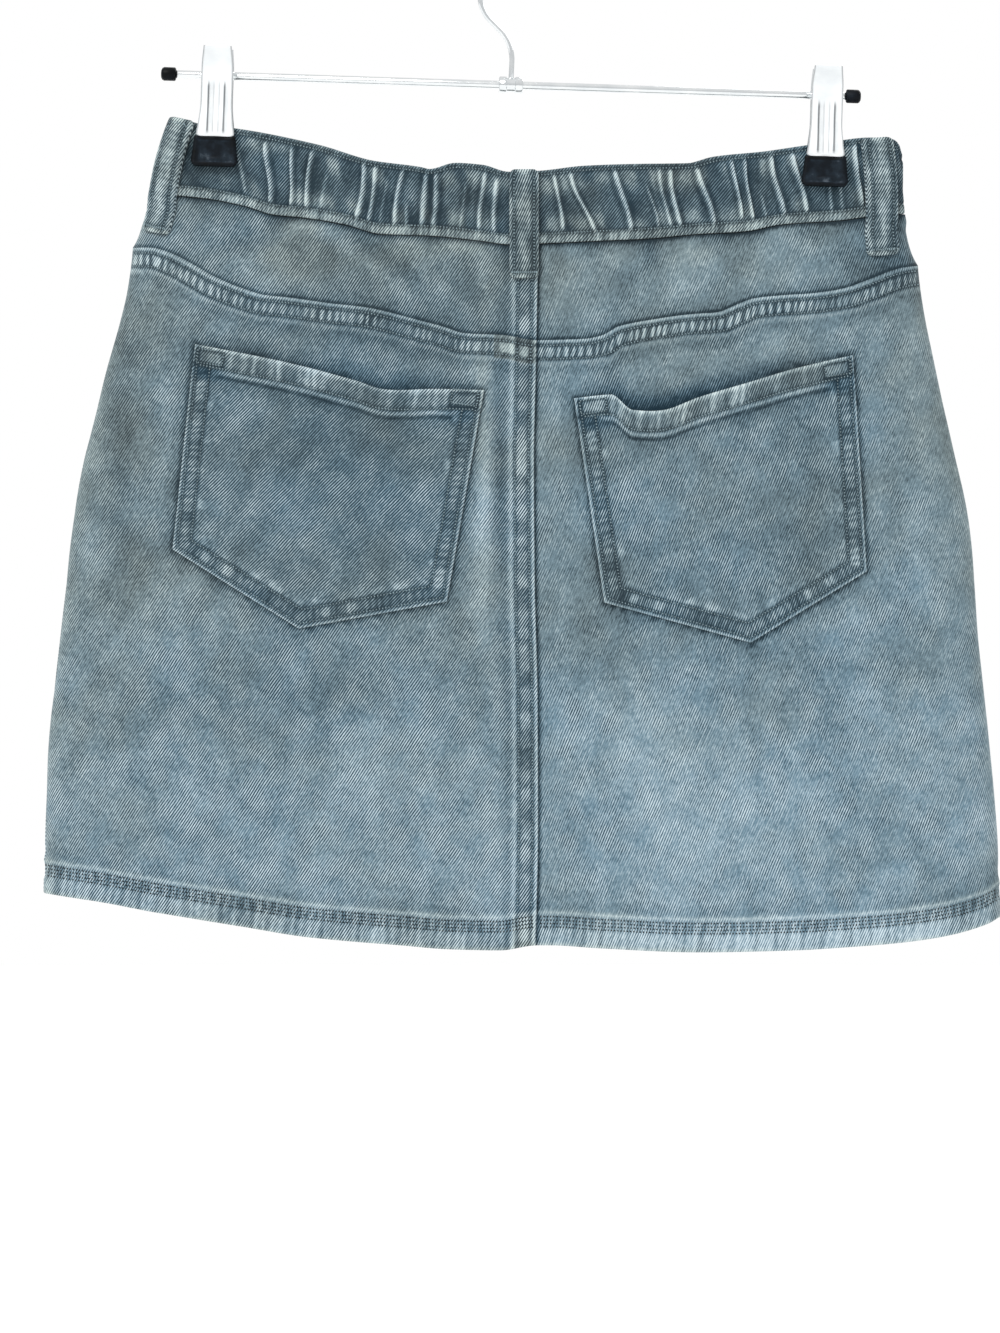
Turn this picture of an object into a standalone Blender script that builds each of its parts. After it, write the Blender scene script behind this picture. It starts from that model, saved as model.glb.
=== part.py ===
"""A denim skort with an elasticated back waist, hung by two clips from a wire hanger.

Sizes in the tables are millimetres and the scene is in metres, +Z up. The origin is the inside top of
the hanger's hook, where a rail carries it. The garment's back faces -Y, and left means towards -X.
The cloth is a family of nested tubes: `level` runs down it (0 waistband top, 1 waistband seam, 2 yoke
seam, 3 hem), `across` runs from -1 at the left side seam to 1 at the right one, and `out` moves a
point off the waistband's outer face.
"""

import math

import bmesh
import bpy
from mathutils import Matrix, Vector

MM = 0.001
GAP = 0.3                 # clearance between pieces that touch
BACK, FRONT = -1, 1       # which way each half of the tube faces along Y
FACE_NAMES = {BACK: "back", FRONT: "front"}

# Cloth thicknesses, and how far each layer lies off the waistband's outer face
BAND_THICK = 4.0          # two plies of denim round a flat elastic
DENIM_THICK = 1.1
HEM_THICK = 3.0           # denim turned up twice
HEM_HEIGHT = 14.0
LOOP_THICK = 2.4
KNIT_THICK = 1.0
PANEL_OUT = -1.3
SHORTS_OUT = PANEL_OUT - DENIM_THICK - GAP

# Where the outline stands at each level: side seams and centre seam along X, then the half depth of
# the tube in the middle and near the sides, and how tightly the sides fold round
GIRTH_COLUMNS = ("level", "left", "centre", "right", "deep_mid", "deep_side", "fold")
GIRTH = (
    (0.0, -171.0, 4.5, 193.5, 9.0, 4.2, 30.0),
    (1.0, -182.5, 5.0, 194.5, 11.0, 4.2, 26.0),
    (1.5, -186.5, 6.5, 196.0, 13.0, 7.0, 16.0),
    (2.0, -191.5, 8.0, 201.0, 15.0, 10.0, 10.0),
    (2.2, -206.0, 9.0, 213.0, 17.0, 13.0, 7.0),
    (2.4, -220.5, 10.0, 227.0, 19.0, 16.0, 6.0),
    (2.6, -228.0, 11.0, 232.5, 21.0, 19.0, 5.0),
    (2.8, -234.5, 11.0, 239.0, 23.0, 22.0, 4.5),
    (3.0, -236.0, 10.5, 243.0, 25.0, 25.0, 4.0),
)
# Height of each seam and edge at seven stations from the left side seam to the right one
STATIONS = (-1.0, -0.667, -0.333, 0.0, 0.333, 0.667, 1.0)
HEIGHTS = (
    (-78.0, -88.0, -102.0, -105.5, -101.0, -94.0, -89.0),        # waistband top
    (-116.0, -127.0, -137.0, -142.0, -139.0, -132.0, -126.0),    # waistband seam
    (-148.0, -172.0, -182.0, -195.0, -183.5, -172.0, -157.0),    # yoke seam
    (-467.0, -479.5, -490.0, -492.5, -495.0, -492.5, -478.5),    # hem
)
FRONT_DROP = ((0.0, 6.0), (1.0, 6.0), (2.0, 3.0), (3.0, -2.0))   # level, how far the front hangs lower
CLAMP_REACH = 0.72        # share of the half width that gapes open between the clips
HEM_LEVEL = 3 - HEM_HEIGHT / (HEIGHTS[2][3] - HEIGHTS[3][3])
HEM_STEP = 0.005
YOKE_LEVELS = (1.0, 1.33, 1.67, 2.0)
HALF_COLUMNS = 12         # columns of a panel, from centre seam to side seam

# Ridges that the elastic gathers into the back waistband: place at its top and its seam, and height
GATHER_COLUMNS = ("top", "seam", "height")
GATHERS = (
    (-126.0, -124.0, 0.5), (-111.5, -114.5, 0.8), (-100.5, -105.0, 0.8), (-76.0, -81.5, 0.9),
    (-62.5, -68.0, 0.9), (-55.0, -61.5, 0.7), (-43.0, -45.0, 0.9), (-15.0, -18.0, 0.7),
    (18.5, 23.5, 0.7), (27.0, 40.0, 0.9), (49.5, 57.0, 0.8), (64.5, 69.5, 0.4),
    (78.0, 83.0, 0.7), (91.0, 99.5, 0.9), (107.0, 113.0, 0.8), (118.0, 122.5, 0.6),
    (127.5, 135.0, 0.7), (139.0, 141.5, 0.0),
)
BAND_ROWS = ((0.0, 0.2), (0.14, 0.4), (0.5, 1.0), (0.85, 0.4), (1.0, 0.2))   # level, share of ridge

# Corners of the two five-sided back pockets, as X and Z, and how each mouth sags and stands off
POCKETS = {
    "left": {
        "top_left": (-160.5, -192.0), "top_right": (-16.0, -215.0), "low_right": (-34.5, -320.5),
        "point": (-108.5, -334.0), "low_left": (-171.5, -294.5),
        "mouth": ((0.0, 0.0, 0.0), (0.28, 1.6, 0.6), (0.56, 5.6, 1.4), (0.64, 7.6, 1.6),
                  (0.84, 3.1, 0.7), (1.0, 0.0, 0.0)),
    },
    "right": {
        "top_left": (29.0, -219.0), "top_right": (168.5, -197.5), "low_right": (175.0, -305.5),
        "point": (117.0, -341.0), "low_left": (44.0, -321.0),
        "mouth": ((0.0, 0.0, 0.0), (0.13, 1.0, 1.4), (0.21, 10.5, 3.6), (0.32, 13.0, 4.0),
                  (0.45, 9.2, 3.0), (0.62, 5.8, 1.8), (0.8, 2.2, 0.8), (1.0, 0.0, 0.0)),
    },
}
MOUTH_HEM = 10.5          # height of the turned-down pocket mouth
MOUTH_EXTRA = 0.8         # what its second ply adds
POCKET_COLUMNS, POCKET_ROWS = 10, 8

# Belt loops: which face, X and Z of the top and the bottom, and the width seen face on
LOOP_COLUMNS = ("face", "top_x", "top_z", "low_x", "low_z", "width")
LOOPS = {
    "back": (BACK, 4.5, -104.5, 4.5, -158.5, 16.0),
    "side_left": (BACK, -165.8, -79.5, -178.3, -136.0, 12.5),
    "side_right": (BACK, 182.8, -88.6, 185.0, -147.5, 15.5),
    "front_left": (FRONT, -92.0, -103.0, -94.0, -153.0, 16.0),
    "front_right": (FRONT, 106.0, -104.0, 108.0, -154.0, 16.0),
}
LOOP_COLUMNS_WIDE, LOOP_ROWS = 4, 12
LOOP_SLACK = 0.9          # how far a loop bows off the waistband
GATHER_ROOM = 0.3         # what the gathers under a loop lift it by

# The shorts inside. They leave the skirt below the waistband seam and hang free from the yoke seam down
FORK_LEVEL = 2.52
FORK_EASE = 0.22          # levels over which front and back close towards the fork
LEG_HEM_LEVEL = 2.83
LEG_SPREAD = 6.0          # half the space between the legs at their hems
SIDE_INSET = (4.0, 12.0)  # how far their sides lie inside the skirt's, at the top and hanging free
FREE_DEPTH = 0.5          # share of the skirt's depth that they fill where they hang free
FREE_FOLD = 5.0
INSEAM_REACH = 0.6        # share of a leg's width over which its inner side rounds
SHORTS_COLUMNS, SHORTS_ROWS = 10, 12

# The hanger
TILT = math.radians(1.88)
BAR_CENTRE = Vector((-2.5, 0.0, -61.5))
BAR_RADIUS = 2.0
BAR_HALF = 173.0
BORE_RADIUS = BAR_RADIUS + GAP
COLLAR_RADIUS, COLLAR_HALF = 4.2, 6.0
CAP_RADIUS, CAP_INSIDE, CAP_BEYOND = 3.4, 5.0, 2.5
SPRING_RADIUS, SPRING_HALF = 3.3, 5.2
WIRE_RADIUS = 1.3
HOOK_RADIUS = 18.0
HOOK_LEAN = math.radians(45.0)
HOOK_BEND = 21.0          # radius of the bend between stem and hook
HOOK_END = math.radians(8.0)
CLIPS = {"left": -147.1, "right": 158.4}     # place of each clip along the bar
PAD_TOP, PAD_LOW = -31.0, -46.2
PAD_TOP_WIDTH, PAD_LOW_WIDTH, PAD_THICK = 20.5, 23.5, 4.2
PAD_CORNER = 3.0
BAND_FACE = GAP / 2 + GIRTH[0][GIRTH_COLUMNS.index("deep_side")]
PLATE = 0.8
EAR_FROM = {BACK: 6.9, FRONT: 5.7}           # the front jaw's ears sit between the back one's
EAR_NEAR, EAR_FAR, EAR_HALF, EAR_CORNER = 4.2, 3.2, 3.6, 2.2

# One row for each bend of a jaw, from the tip inside its pad to the finger tab: distance from the
# bar's axis, height over it, and half width
JAW_COLUMNS = ("off", "up", "half")
JAW = (
    (6.75, -41.0, 7.6), (6.75, -30.8, 7.6), (6.75, -30.2, 9.5), (6.6, -25.0, 8.6),
    (4.4, -14.0, 7.9), (4.1, -4.0, 7.9), (4.6, 4.0, 7.9), (9.5, 14.0, 7.0),
)

COLOURS = {
    "denim": ((0.21, 0.29, 0.34), 0.9, 0.0),
    "waistband_denim": ((0.12, 0.17, 0.21), 0.9, 0.0),
    "pocket_denim": ((0.17, 0.24, 0.29), 0.9, 0.0),
    "knit": ((0.16, 0.2, 0.24), 0.85, 0.0),
    "chrome": ((0.75, 0.76, 0.77), 0.15, 1.0),
    "rubber": ((0.02, 0.022, 0.025), 0.55, 0.0),
}


def clear_scene():
    for obj in list(bpy.data.objects):
        bpy.data.objects.remove(obj, do_unlink=True)


def named(columns, row):
    return dict(zip(columns, row))


def material(name):
    found = bpy.data.materials.get(name)
    if found:
        return found
    colour, roughness, metallic = COLOURS[name]
    made = bpy.data.materials.new(name)
    made.use_nodes = True
    shader = made.node_tree.nodes["Principled BSDF"]
    shader.inputs["Base Color"].default_value = (*colour, 1.0)
    shader.inputs["Roughness"].default_value = roughness
    shader.inputs["Metallic"].default_value = metallic
    return made


def add_object(name, data, finish, parent=None):
    obj = bpy.data.objects.new(name, data)
    bpy.context.scene.collection.objects.link(obj)
    obj.data.materials.append(material(finish))
    obj.parent = parent
    return obj


def object_from(bm, name, finish, parent=None):
    bmesh.ops.recalc_face_normals(bm, faces=bm.faces[:])
    if bm.calc_volume(signed=True) < 0:
        bmesh.ops.reverse_faces(bm, faces=bm.faces[:])
    mesh = bpy.data.meshes.new(name)
    bm.to_mesh(mesh)
    bm.free()
    mesh.shade_smooth()
    mesh.set_sharp_from_angle(angle=math.radians(35.0))
    return add_object(name, mesh, finish, parent)


def curve_through(knots, x):
    """The value at x of a smooth curve through (x, value) knots, which never overshoots them."""
    if x <= knots[0][0]:
        return knots[0][1]
    if x >= knots[-1][0]:
        return knots[-1][1]
    at = next(i for i in range(len(knots) - 1) if x <= knots[i + 1][0])

    def slope(i):
        if i in (0, len(knots) - 1):
            i = max(i, 1)
            return (knots[i][1] - knots[i - 1][1]) / (knots[i][0] - knots[i - 1][0])
        before = (knots[i][1] - knots[i - 1][1]) / (knots[i][0] - knots[i - 1][0])
        after = (knots[i + 1][1] - knots[i][1]) / (knots[i + 1][0] - knots[i][0])
        return 2 * before * after / (before + after) if before * after > 0 else 0.0

    (x0, y0), (x1, y1) = knots[at], knots[at + 1]
    span = x1 - x0
    f = (x - x0) / span
    rise = (2 * f**3 - 3 * f**2 + 1) * y0 + (3 * f**2 - 2 * f**3) * y1
    return rise + span * ((f**3 - 2 * f**2 + f) * slope(at) + (f**3 - f**2) * slope(at + 1))


def ease(x, low, high):
    f = min(max((x - low) / (high - low), 0.0), 1.0)
    return f * f * (3 - 2 * f)


def lerp(a, b, f):
    return a + (b - a) * f


def girth(level):
    """The outline and depth of the tube at a level, by column name."""
    values = {}
    for i, column in enumerate(GIRTH_COLUMNS[1:], 1):
        values[column] = curve_through([(row[0], row[i]) for row in GIRTH], level)
    return values


def height(face, across, level):
    row = min(int(level), 2)
    above, below = (curve_through(list(zip(STATIONS, HEIGHTS[i])), across) for i in (row, row + 1))
    drop = curve_through(FRONT_DROP, level) * (1 - across**2) if face == FRONT else 0.0
    return lerp(above, below, level - row) - drop


def half_width(ring, across):
    return ring["right"] - ring["centre"] if across >= 0 else ring["centre"] - ring["left"]


def half_depth(ring, across, level):
    """How far the waistband's outer face stands from the middle plane, before its sides fold round."""
    gape = max(0.0, 1 - (across / CLAMP_REACH) ** 2) ** 2
    gape = lerp(gape, 1.0, ease(level, 1.0, 2.4))
    return lerp(ring["deep_side"], ring["deep_mid"], gape)


def fold_round(across, sharpness):
    return math.sqrt(max(0.0, 1 - abs(across) ** sharpness))


def cloth(face, across, level, out):
    """A point of the layer that lies `out` millimetres off the waistband's outer face."""
    ring = girth(level)
    x = ring["centre"] + across * (half_width(ring, across) + out)
    deep = max(half_depth(ring, across, level) + out, 0.0)
    y = GAP / 2 + deep * fold_round(across, ring["fold"])
    return Vector((x, face * y, height(face, across, level)))


def locate(face, x, z):
    """(across, level) of the place on the cloth whose X and Z are given."""
    low, high = 0.0, 3.0
    across = 0.0
    for _ in range(24):
        level = (low + high) / 2
        ring = girth(level)
        across = (x - ring["centre"]) / (half_width(ring, x - ring["centre"]) + PANEL_OUT)
        across = min(max(across, -1.0), 1.0)
        if height(face, across, level) > z:
            low = level
        else:
            high = level
    return across, level


def wall(name, finish, columns, rows, outer, inner, parent=None):
    """A closed wall: a grid whose corners outer(u, v) places, extruded to where inner(u, v) says.
    u and v run from 0 to 1."""
    bm = bmesh.new()
    bmesh.ops.create_grid(bm, x_segments=columns, y_segments=rows, size=0.5)
    skin = bmesh.ops.extrude_face_region(bm, geom=bm.faces[:], use_keep_orig=False)
    lifted = {item for item in skin["geom"] if isinstance(item, bmesh.types.BMVert)}
    for vertex in bm.verts:
        u, v = vertex.co.x + 0.5, 0.5 - vertex.co.y
        vertex.co = (inner if vertex in lifted else outer)(u, v) * MM
    return object_from(bm, name, finish, parent)


def spread(first, last, f):
    """Places between two side stations, closer together where the cloth folds round its side."""
    a, b = (math.asin(max(-1.0, min(1.0, s))) for s in (first, last))
    return math.sin(lerp(a, b, f))


def panel(name, face, sides, levels):
    """A denim panel. Its edges keep half the gap to the piece across each seam."""
    first, last = sides
    rows = len(levels) - 1

    def place(u, v, depth):
        level = levels[round(v * rows)]
        point = cloth(face, spread(first, last, u), level, PANEL_OUT - depth)
        if u < 0.01 and first == 0:
            point.x += GAP / 2
        if u > 0.99 and last == 0:
            point.x -= GAP / 2
        if level == levels[0]:
            point.z -= GAP / 2
        if level == levels[-1] and level < 3:
            point.z += GAP / 2
        return point

    def outer(u, v):
        return place(u, v, 0.0)

    def inner(u, v):
        turned_up = levels[round(v * rows)] >= HEM_LEVEL
        return place(u, v, HEM_THICK if turned_up else DENIM_THICK)

    wall(name, "denim", HALF_COLUMNS, rows, outer, inner)


def levels_to_hem(first, steps):
    """Levels from a seam to the hem, with a close pair where the turned-up hem begins."""
    body = [lerp(first, HEM_LEVEL - HEM_STEP, i / steps) for i in range(steps + 1)]
    return (*body, HEM_LEVEL, 3.0)


def back_waistband():
    """The elastic gathers this band, so its columns follow the crests of the ridges and the dips."""
    ridges = [named(GATHER_COLUMNS, row) for row in GATHERS]
    lines = [(ridge["top"], ridge["seam"], ridge["height"]) for ridge in ridges]
    lines += [
        ((a["top"] + b["top"]) / 2, (a["seam"] + b["seam"]) / 2, -0.3)
        for a, b in zip(ridges, ridges[1:])
    ]
    top_ring, seam_ring = girth(0.0), girth(1.0)
    columns = [
        ((top - top_ring["centre"]) / half_width(top_ring, top - top_ring["centre"]),
         (seam - seam_ring["centre"]) / half_width(seam_ring, seam - seam_ring["centre"]), lift)
        for top, seam, lift in lines
    ]
    ends = (0.8, 0.88, 0.94, 0.966, 0.985, 0.996, 1.0)
    columns += [(side * end, side * end, 0.0) for side in (-1, 1) for end in ends]
    columns.sort()
    last_column, last_row = len(columns) - 1, len(BAND_ROWS) - 1

    def place(u, v, depth):
        top, seam, lift = columns[round(u * last_column)]
        level, share = BAND_ROWS[round(v * last_row)]
        point = cloth(BACK, lerp(top, seam, level), level, lift * share - depth)
        if level == 1:
            point.z += GAP / 2
        return point

    def outer(u, v):
        return place(u, v, 0.0)

    def inner(u, v):
        top, seam, lift = columns[round(u * last_column)]
        _, share = BAND_ROWS[round(v * last_row)]
        return place(u, v, BAND_THICK + lift * share)

    wall("back_waistband", "waistband_denim", last_column, last_row, outer, inner)


def front_waistband():
    columns = 24

    def place(u, v, depth):
        point = cloth(FRONT, spread(-1, 1, u), v, -depth)
        if v > 0.99:
            point.z += GAP / 2
        return point

    def outer(u, v):
        return place(u, v, 0.0)

    def inner(u, v):
        return place(u, v, BAND_THICK)

    wall("front_waistband", "waistband_denim", columns, 2, outer, inner)


def panels():
    for side, reach in (("left", (-1, 0)), ("right", (0, 1))):
        panel(f"back_yoke_{side}", BACK, reach, YOKE_LEVELS)
        panel(f"back_panel_{side}", BACK, reach, levels_to_hem(2.0, 9))
        panel(f"front_panel_{side}", FRONT, reach, levels_to_hem(1.0, 11))


def pocket(side):
    """A patch pocket. Its mouth sags and stands off the panel, and everything else lies on it."""
    spec = POCKETS[side]
    corners = {name: Vector(spec[name]) for name in spec if name != "mouth"}
    low_left, point, low_right = (corners[name] for name in ("low_left", "point", "low_right"))
    kink = round(POCKET_COLUMNS * (point.x - low_left.x) / (low_right.x - low_left.x)) / POCKET_COLUMNS
    sag = [(row[0], row[1]) for row in spec["mouth"]]
    gape = [(row[0], row[2]) for row in spec["mouth"]]

    def place(u, v, thick):
        top = corners["top_left"].lerp(corners["top_right"], u)
        top.y -= curve_through(sag, u)
        if u <= kink:
            low = low_left.lerp(point, u / kink)
        else:
            low = point.lerp(low_right, (u - kink) / (1 - kink))
        flat = top.lerp(low, v)
        across, level = locate(BACK, flat.x, flat.y)
        stand = curve_through(gape, u) * (1 - v) ** 4
        if thick and v * (top - low).length < MOUTH_HEM:
            thick += MOUTH_EXTRA
        return cloth(BACK, across, level, PANEL_OUT + GAP + stand + thick)

    def outer(u, v):
        return place(u, v, DENIM_THICK)

    def inner(u, v):
        return place(u, v, 0.0)

    wall(f"back_pocket_{side}", "pocket_denim", POCKET_COLUMNS, POCKET_ROWS, outer, inner)


def belt_loop(name):
    """A folded strip laid over the waistband, stepping down to the yoke below it."""
    spec = named(LOOP_COLUMNS, LOOPS[name])
    top = Vector((spec["top_x"], spec["top_z"]))
    low = Vector((spec["low_x"], spec["low_z"]))
    beside = (low - top).normalized().orthogonal() * spec["width"] / 2
    if beside.x < 0:
        beside = -beside

    def place(u, v, depth):
        flat = top.lerp(low, v) + beside * (2 * u - 1)
        across, level = locate(spec["face"], flat.x, flat.y)
        on_band = 1 - ease(level, 1.0, 1.3)
        gathers = GATHER_ROOM if spec["face"] == BACK else 0.0
        lift = lerp(PANEL_OUT, gathers, on_band) + GAP
        lift += LOOP_SLACK * math.sin(math.pi * min(level, 1.0)) * on_band
        return cloth(spec["face"], across, level, lift + depth)

    def outer(u, v):
        return place(u, v, LOOP_THICK)

    def inner(u, v):
        return place(u, v, 0.0)

    wall(f"belt_loop_{name}", "denim", LOOP_COLUMNS_WIDE, LOOP_ROWS, outer, inner)


def shorts_panel(face, side):
    """A quarter of the shorts inside. Above the fork it runs from side seam to centre seam, and below
    it turns in to the inseam of its own leg."""
    sign = -1 if side == "left" else 1

    def place(u, v, depth):
        level = lerp(1.0, LEG_HEM_LEVEL, v)
        ring = girth(level)
        free = ease(level, 1.0, 2.0)
        legs = ease(level, FORK_LEVEL - FORK_EASE, FORK_LEVEL)
        parted = LEG_SPREAD * max(0.0, level - FORK_LEVEL) / (LEG_HEM_LEVEL - FORK_LEVEL)
        inner_edge = GAP / 2 + parted + legs * depth
        outer_edge = half_width(ring, sign) + SHORTS_OUT - lerp(*SIDE_INSET, free) - depth
        share = spread(0.0, 1.0, u)
        reach = lerp(inner_edge, outer_edge, share)
        across = sign * reach / half_width(ring, sign)
        deep = half_depth(ring, across, level) * lerp(1.0, FREE_DEPTH, free) + SHORTS_OUT - depth
        deep *= fold_round(share, lerp(ring["fold"], FREE_FOLD, free))
        deep *= lerp(1.0, fold_round(1 - min(share / INSEAM_REACH, 1.0), 3.0), legs)
        z = height(face, across, level) - (GAP / 2 if v < 0.01 else 0.0)
        return Vector((ring["centre"] + sign * reach, face * (GAP / 2 + max(deep, 0.0)), z))

    def outer(u, v):
        return place(u, v, 0.0)

    def inner(u, v):
        return place(u, v, KNIT_THICK)

    wall(f"shorts_{FACE_NAMES[face]}_{side}", "knit", SHORTS_COLUMNS, SHORTS_ROWS, outer, inner)


def arc(centre, radius, start, stop, steps):
    """Points of an arc in the XZ plane, angles in radians from +X towards +Z."""
    return [
        centre + Vector((math.cos(a), 0.0, math.sin(a))) * radius
        for a in (lerp(start, stop, i / steps) for i in range(steps + 1))
    ]


def hook_route():
    """Stem, bend to the left, then the round of the hook whose inside top is the origin."""
    centre = Vector((0.0, 0.0, WIRE_RADIUS - HOOK_RADIUS))
    stem_x = BAR_CENTRE.x + 0.5
    sine, cosine = math.sin(HOOK_LEAN), math.cos(HOOK_LEAN)
    touch = centre + Vector((-cosine, 0.0, -sine)) * HOOK_RADIUS
    run_in = (touch.x - stem_x + HOOK_BEND * (1 - cosine)) * cosine / sine
    bend_z = touch.z - HOOK_BEND * sine + run_in
    bend = arc(Vector((stem_x - HOOK_BEND, 0.0, bend_z)), HOOK_BEND, 0.0, HOOK_LEAN, 8)
    round_part = arc(centre, HOOK_RADIUS, math.pi + HOOK_LEAN, HOOK_END, 32)
    tip = round_part[-1] + Vector((2.2, 0.0, -3.0))
    stem = [Vector((BAR_CENTRE.x, 0.0, BAR_CENTRE.z + BAR_RADIUS + 0.9))]
    return [*stem, *bend, *round_part, tip]


def wire(name, route, radius, finish):
    curve = bpy.data.curves.new(name, "CURVE")
    curve.dimensions = "3D"
    spline = curve.splines.new("POLY")
    spline.points.add(len(route) - 1)
    for point, place in zip(spline.points, route):
        point.co = (*(place * MM), 1.0)
    curve.bevel_depth = radius * MM
    curve.bevel_resolution = 2
    curve.use_fill_caps = True
    return add_object(name, curve, finish)


def rod(bm, radius, start, stop, sides=24):
    """A cylinder along X from start to stop."""
    made = bmesh.ops.create_cone(
        bm, cap_ends=True, segments=sides, radius1=radius * MM, radius2=radius * MM,
        depth=(stop - start) * MM,
    )
    turn = Matrix.Translation(Vector(((start + stop) / 2 * MM, 0.0, 0.0)))
    turn = turn @ Matrix.Rotation(math.pi / 2, 4, "Y")
    bmesh.ops.transform(bm, matrix=turn, verts=made["verts"])


def block(bm, low, high):
    """A box between two opposite corners. It returns its vertices."""
    made = bmesh.ops.create_cube(bm, size=1.0)
    low, high = Vector(low) * MM, Vector(high) * MM
    size = Matrix.Diagonal((*(high - low), 1.0))
    bmesh.ops.transform(bm, matrix=Matrix.Translation((low + high) / 2) @ size, verts=made["verts"])
    return made["verts"]


def lies_along(edge, axis):
    run = edge.verts[1].co - edge.verts[0].co
    return abs(run[axis]) > 0.9 * run.length


def bevel(bm, edges, offset, segments):
    bmesh.ops.bevel(bm, geom=edges, offset=offset * MM, segments=segments, profile=0.5,
                    affect="EDGES", material=-1)


def combine(obj, other, operation):
    """Joins or cuts obj with a helper object, which isn't shown."""
    modifier = obj.modifiers.new(operation.title(), "BOOLEAN")
    modifier.operation = operation
    modifier.object = other
    other.hide_render = True
    other.display_type = "WIRE"


def rod_object(name, finish, parent, radius, start, stop):
    bm = bmesh.new()
    rod(bm, radius, start, stop)
    return object_from(bm, name, finish, parent)


def sleeve(name, finish, frame, radius, start, stop):
    """A round piece bored right through for the bar."""
    obj = rod_object(name, finish, frame, radius, start, stop)
    bore = rod_object(f"{name}_bore", finish, frame, BORE_RADIUS, start - 3.0, stop + 3.0)
    combine(obj, bore, "DIFFERENCE")
    return obj


def bar_pieces(frame):
    rod_object("hanger_bar", "chrome", frame, BAR_RADIUS, -BAR_HALF, BAR_HALF)
    collar = sleeve("hanger_collar", "chrome", frame, COLLAR_RADIUS, -COLLAR_HALF, COLLAR_HALF)
    bm = bmesh.new()
    rod(bm, WIRE_RADIUS + GAP, 0.0, COLLAR_RADIUS + 2.0)
    upright = Matrix.Rotation(-math.pi / 2, 4, "Y")
    bmesh.ops.transform(bm, matrix=upright, verts=bm.verts[:])
    combine(collar, object_from(bm, "collar_socket", "chrome", frame), "DIFFERENCE")
    for side, sign in (("left", -1), ("right", 1)):
        start, stop = sorted((sign * (BAR_HALF - CAP_INSIDE), sign * (BAR_HALF + CAP_BEYOND)))
        cap = rod_object(f"bar_end_{side}", "rubber", frame, CAP_RADIUS, start, stop)
        start, stop = sorted((sign * (BAR_HALF - 2 * CAP_INSIDE), sign * (BAR_HALF + GAP)))
        hole = rod_object(f"bar_end_bore_{side}", "rubber", frame, BORE_RADIUS, start, stop)
        combine(cap, hole, "DIFFERENCE")


def jaw(name, frame, place, face):
    """A pressed plate with two ears that the bar runs through."""
    stations = [named(JAW_COLUMNS, row) for row in JAW]
    last = len(stations) - 1

    def place_on(u, v, depth):
        i = round(v * last)
        here = stations[i]
        near, far = stations[max(i - 1, 0)], stations[min(i + 1, last)]
        along = Vector((far["off"] - near["off"], far["up"] - near["up"])).normalized()
        off = here["off"] + along.y * depth
        up = here["up"] - along.x * depth
        return Vector((place + here["half"] * (2 * u - 1), face * off, up))

    def outer(u, v):
        return place_on(u, v, PLATE / 2)

    def inner(u, v):
        return place_on(u, v, -PLATE / 2)

    obj = wall(name, "chrome", 1, last, outer, inner, frame)
    for sign in (-1, 1):
        bm = bmesh.new()
        start, stop = sorted((sign * EAR_FROM[face], sign * (EAR_FROM[face] + PLATE)))
        near, far = sorted((face * EAR_NEAR, -face * EAR_FAR))
        block(bm, (place + start, near, -EAR_HALF), (place + stop, far, EAR_HALF))
        ends = [edge for edge in bm.edges if all(face * v.co.y < 0 for v in edge.verts)]
        bevel(bm, [edge for edge in ends if lies_along(edge, 0)], EAR_CORNER, 3)
        combine(obj, object_from(bm, f"{name}_ear_{len(obj.modifiers)}", "chrome", frame), "UNION")
    reach = JAW[0][JAW_COLUMNS.index("half")] + 5.0
    hole = rod_object(f"{name}_hole", "chrome", frame, BORE_RADIUS, place - reach, place + reach)
    combine(obj, hole, "DIFFERENCE")


def pad(name, frame, place, face):
    """A moulded boot over the end of a jaw, with the slot that the jaw sits in."""
    bm = bmesh.new()
    near = BAND_FACE + GAP
    ends = sorted((face * near, face * (near + PAD_THICK)))
    half = PAD_LOW_WIDTH / 2
    middle = (PAD_TOP + PAD_LOW) / 2 * MM
    for vertex in block(bm, (place - half, ends[0], PAD_LOW), (place + half, ends[1], PAD_TOP)):
        if vertex.co.z > middle:
            vertex.co.x = lerp(place * MM, vertex.co.x, PAD_TOP_WIDTH / PAD_LOW_WIDTH)
    low_edges = [edge for edge in bm.edges if edge.verts[0].co.z < middle and lies_along(edge, 1)]
    bevel(bm, low_edges, PAD_CORNER, 4)
    obj = object_from(bm, name, "rubber", frame)
    bm = bmesh.new()
    tip = named(JAW_COLUMNS, JAW[0])
    reach = tip["half"] + GAP
    slot = sorted((face * (tip["off"] - PLATE / 2 - GAP), face * (tip["off"] + PLATE / 2 + GAP)))
    block(bm, (place - reach, slot[0], tip["up"] - GAP), (place + reach, slot[1], PAD_TOP + 4.0))
    combine(obj, object_from(bm, f"{name}_slot", "rubber", frame), "DIFFERENCE")


def clip(side, frame):
    place = CLIPS[side]
    for face, face_name in FACE_NAMES.items():
        jaw(f"clip_{side}_jaw_{face_name}", frame, place, face)
        pad(f"clip_{side}_pad_{face_name}", frame, place, face)
    spring = f"clip_{side}_spring"
    sleeve(spring, "chrome", frame, SPRING_RADIUS, place - SPRING_HALF, place + SPRING_HALF)


def hanger():
    frame = bpy.data.objects.new("hanger_frame", None)
    bpy.context.scene.collection.objects.link(frame)
    frame.location = BAR_CENTRE * MM
    frame.rotation_euler = (0.0, TILT, 0.0)
    bar_pieces(frame)
    for side in CLIPS:
        clip(side, frame)
    wire("hanger_hook", hook_route(), WIRE_RADIUS, "chrome")


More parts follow.
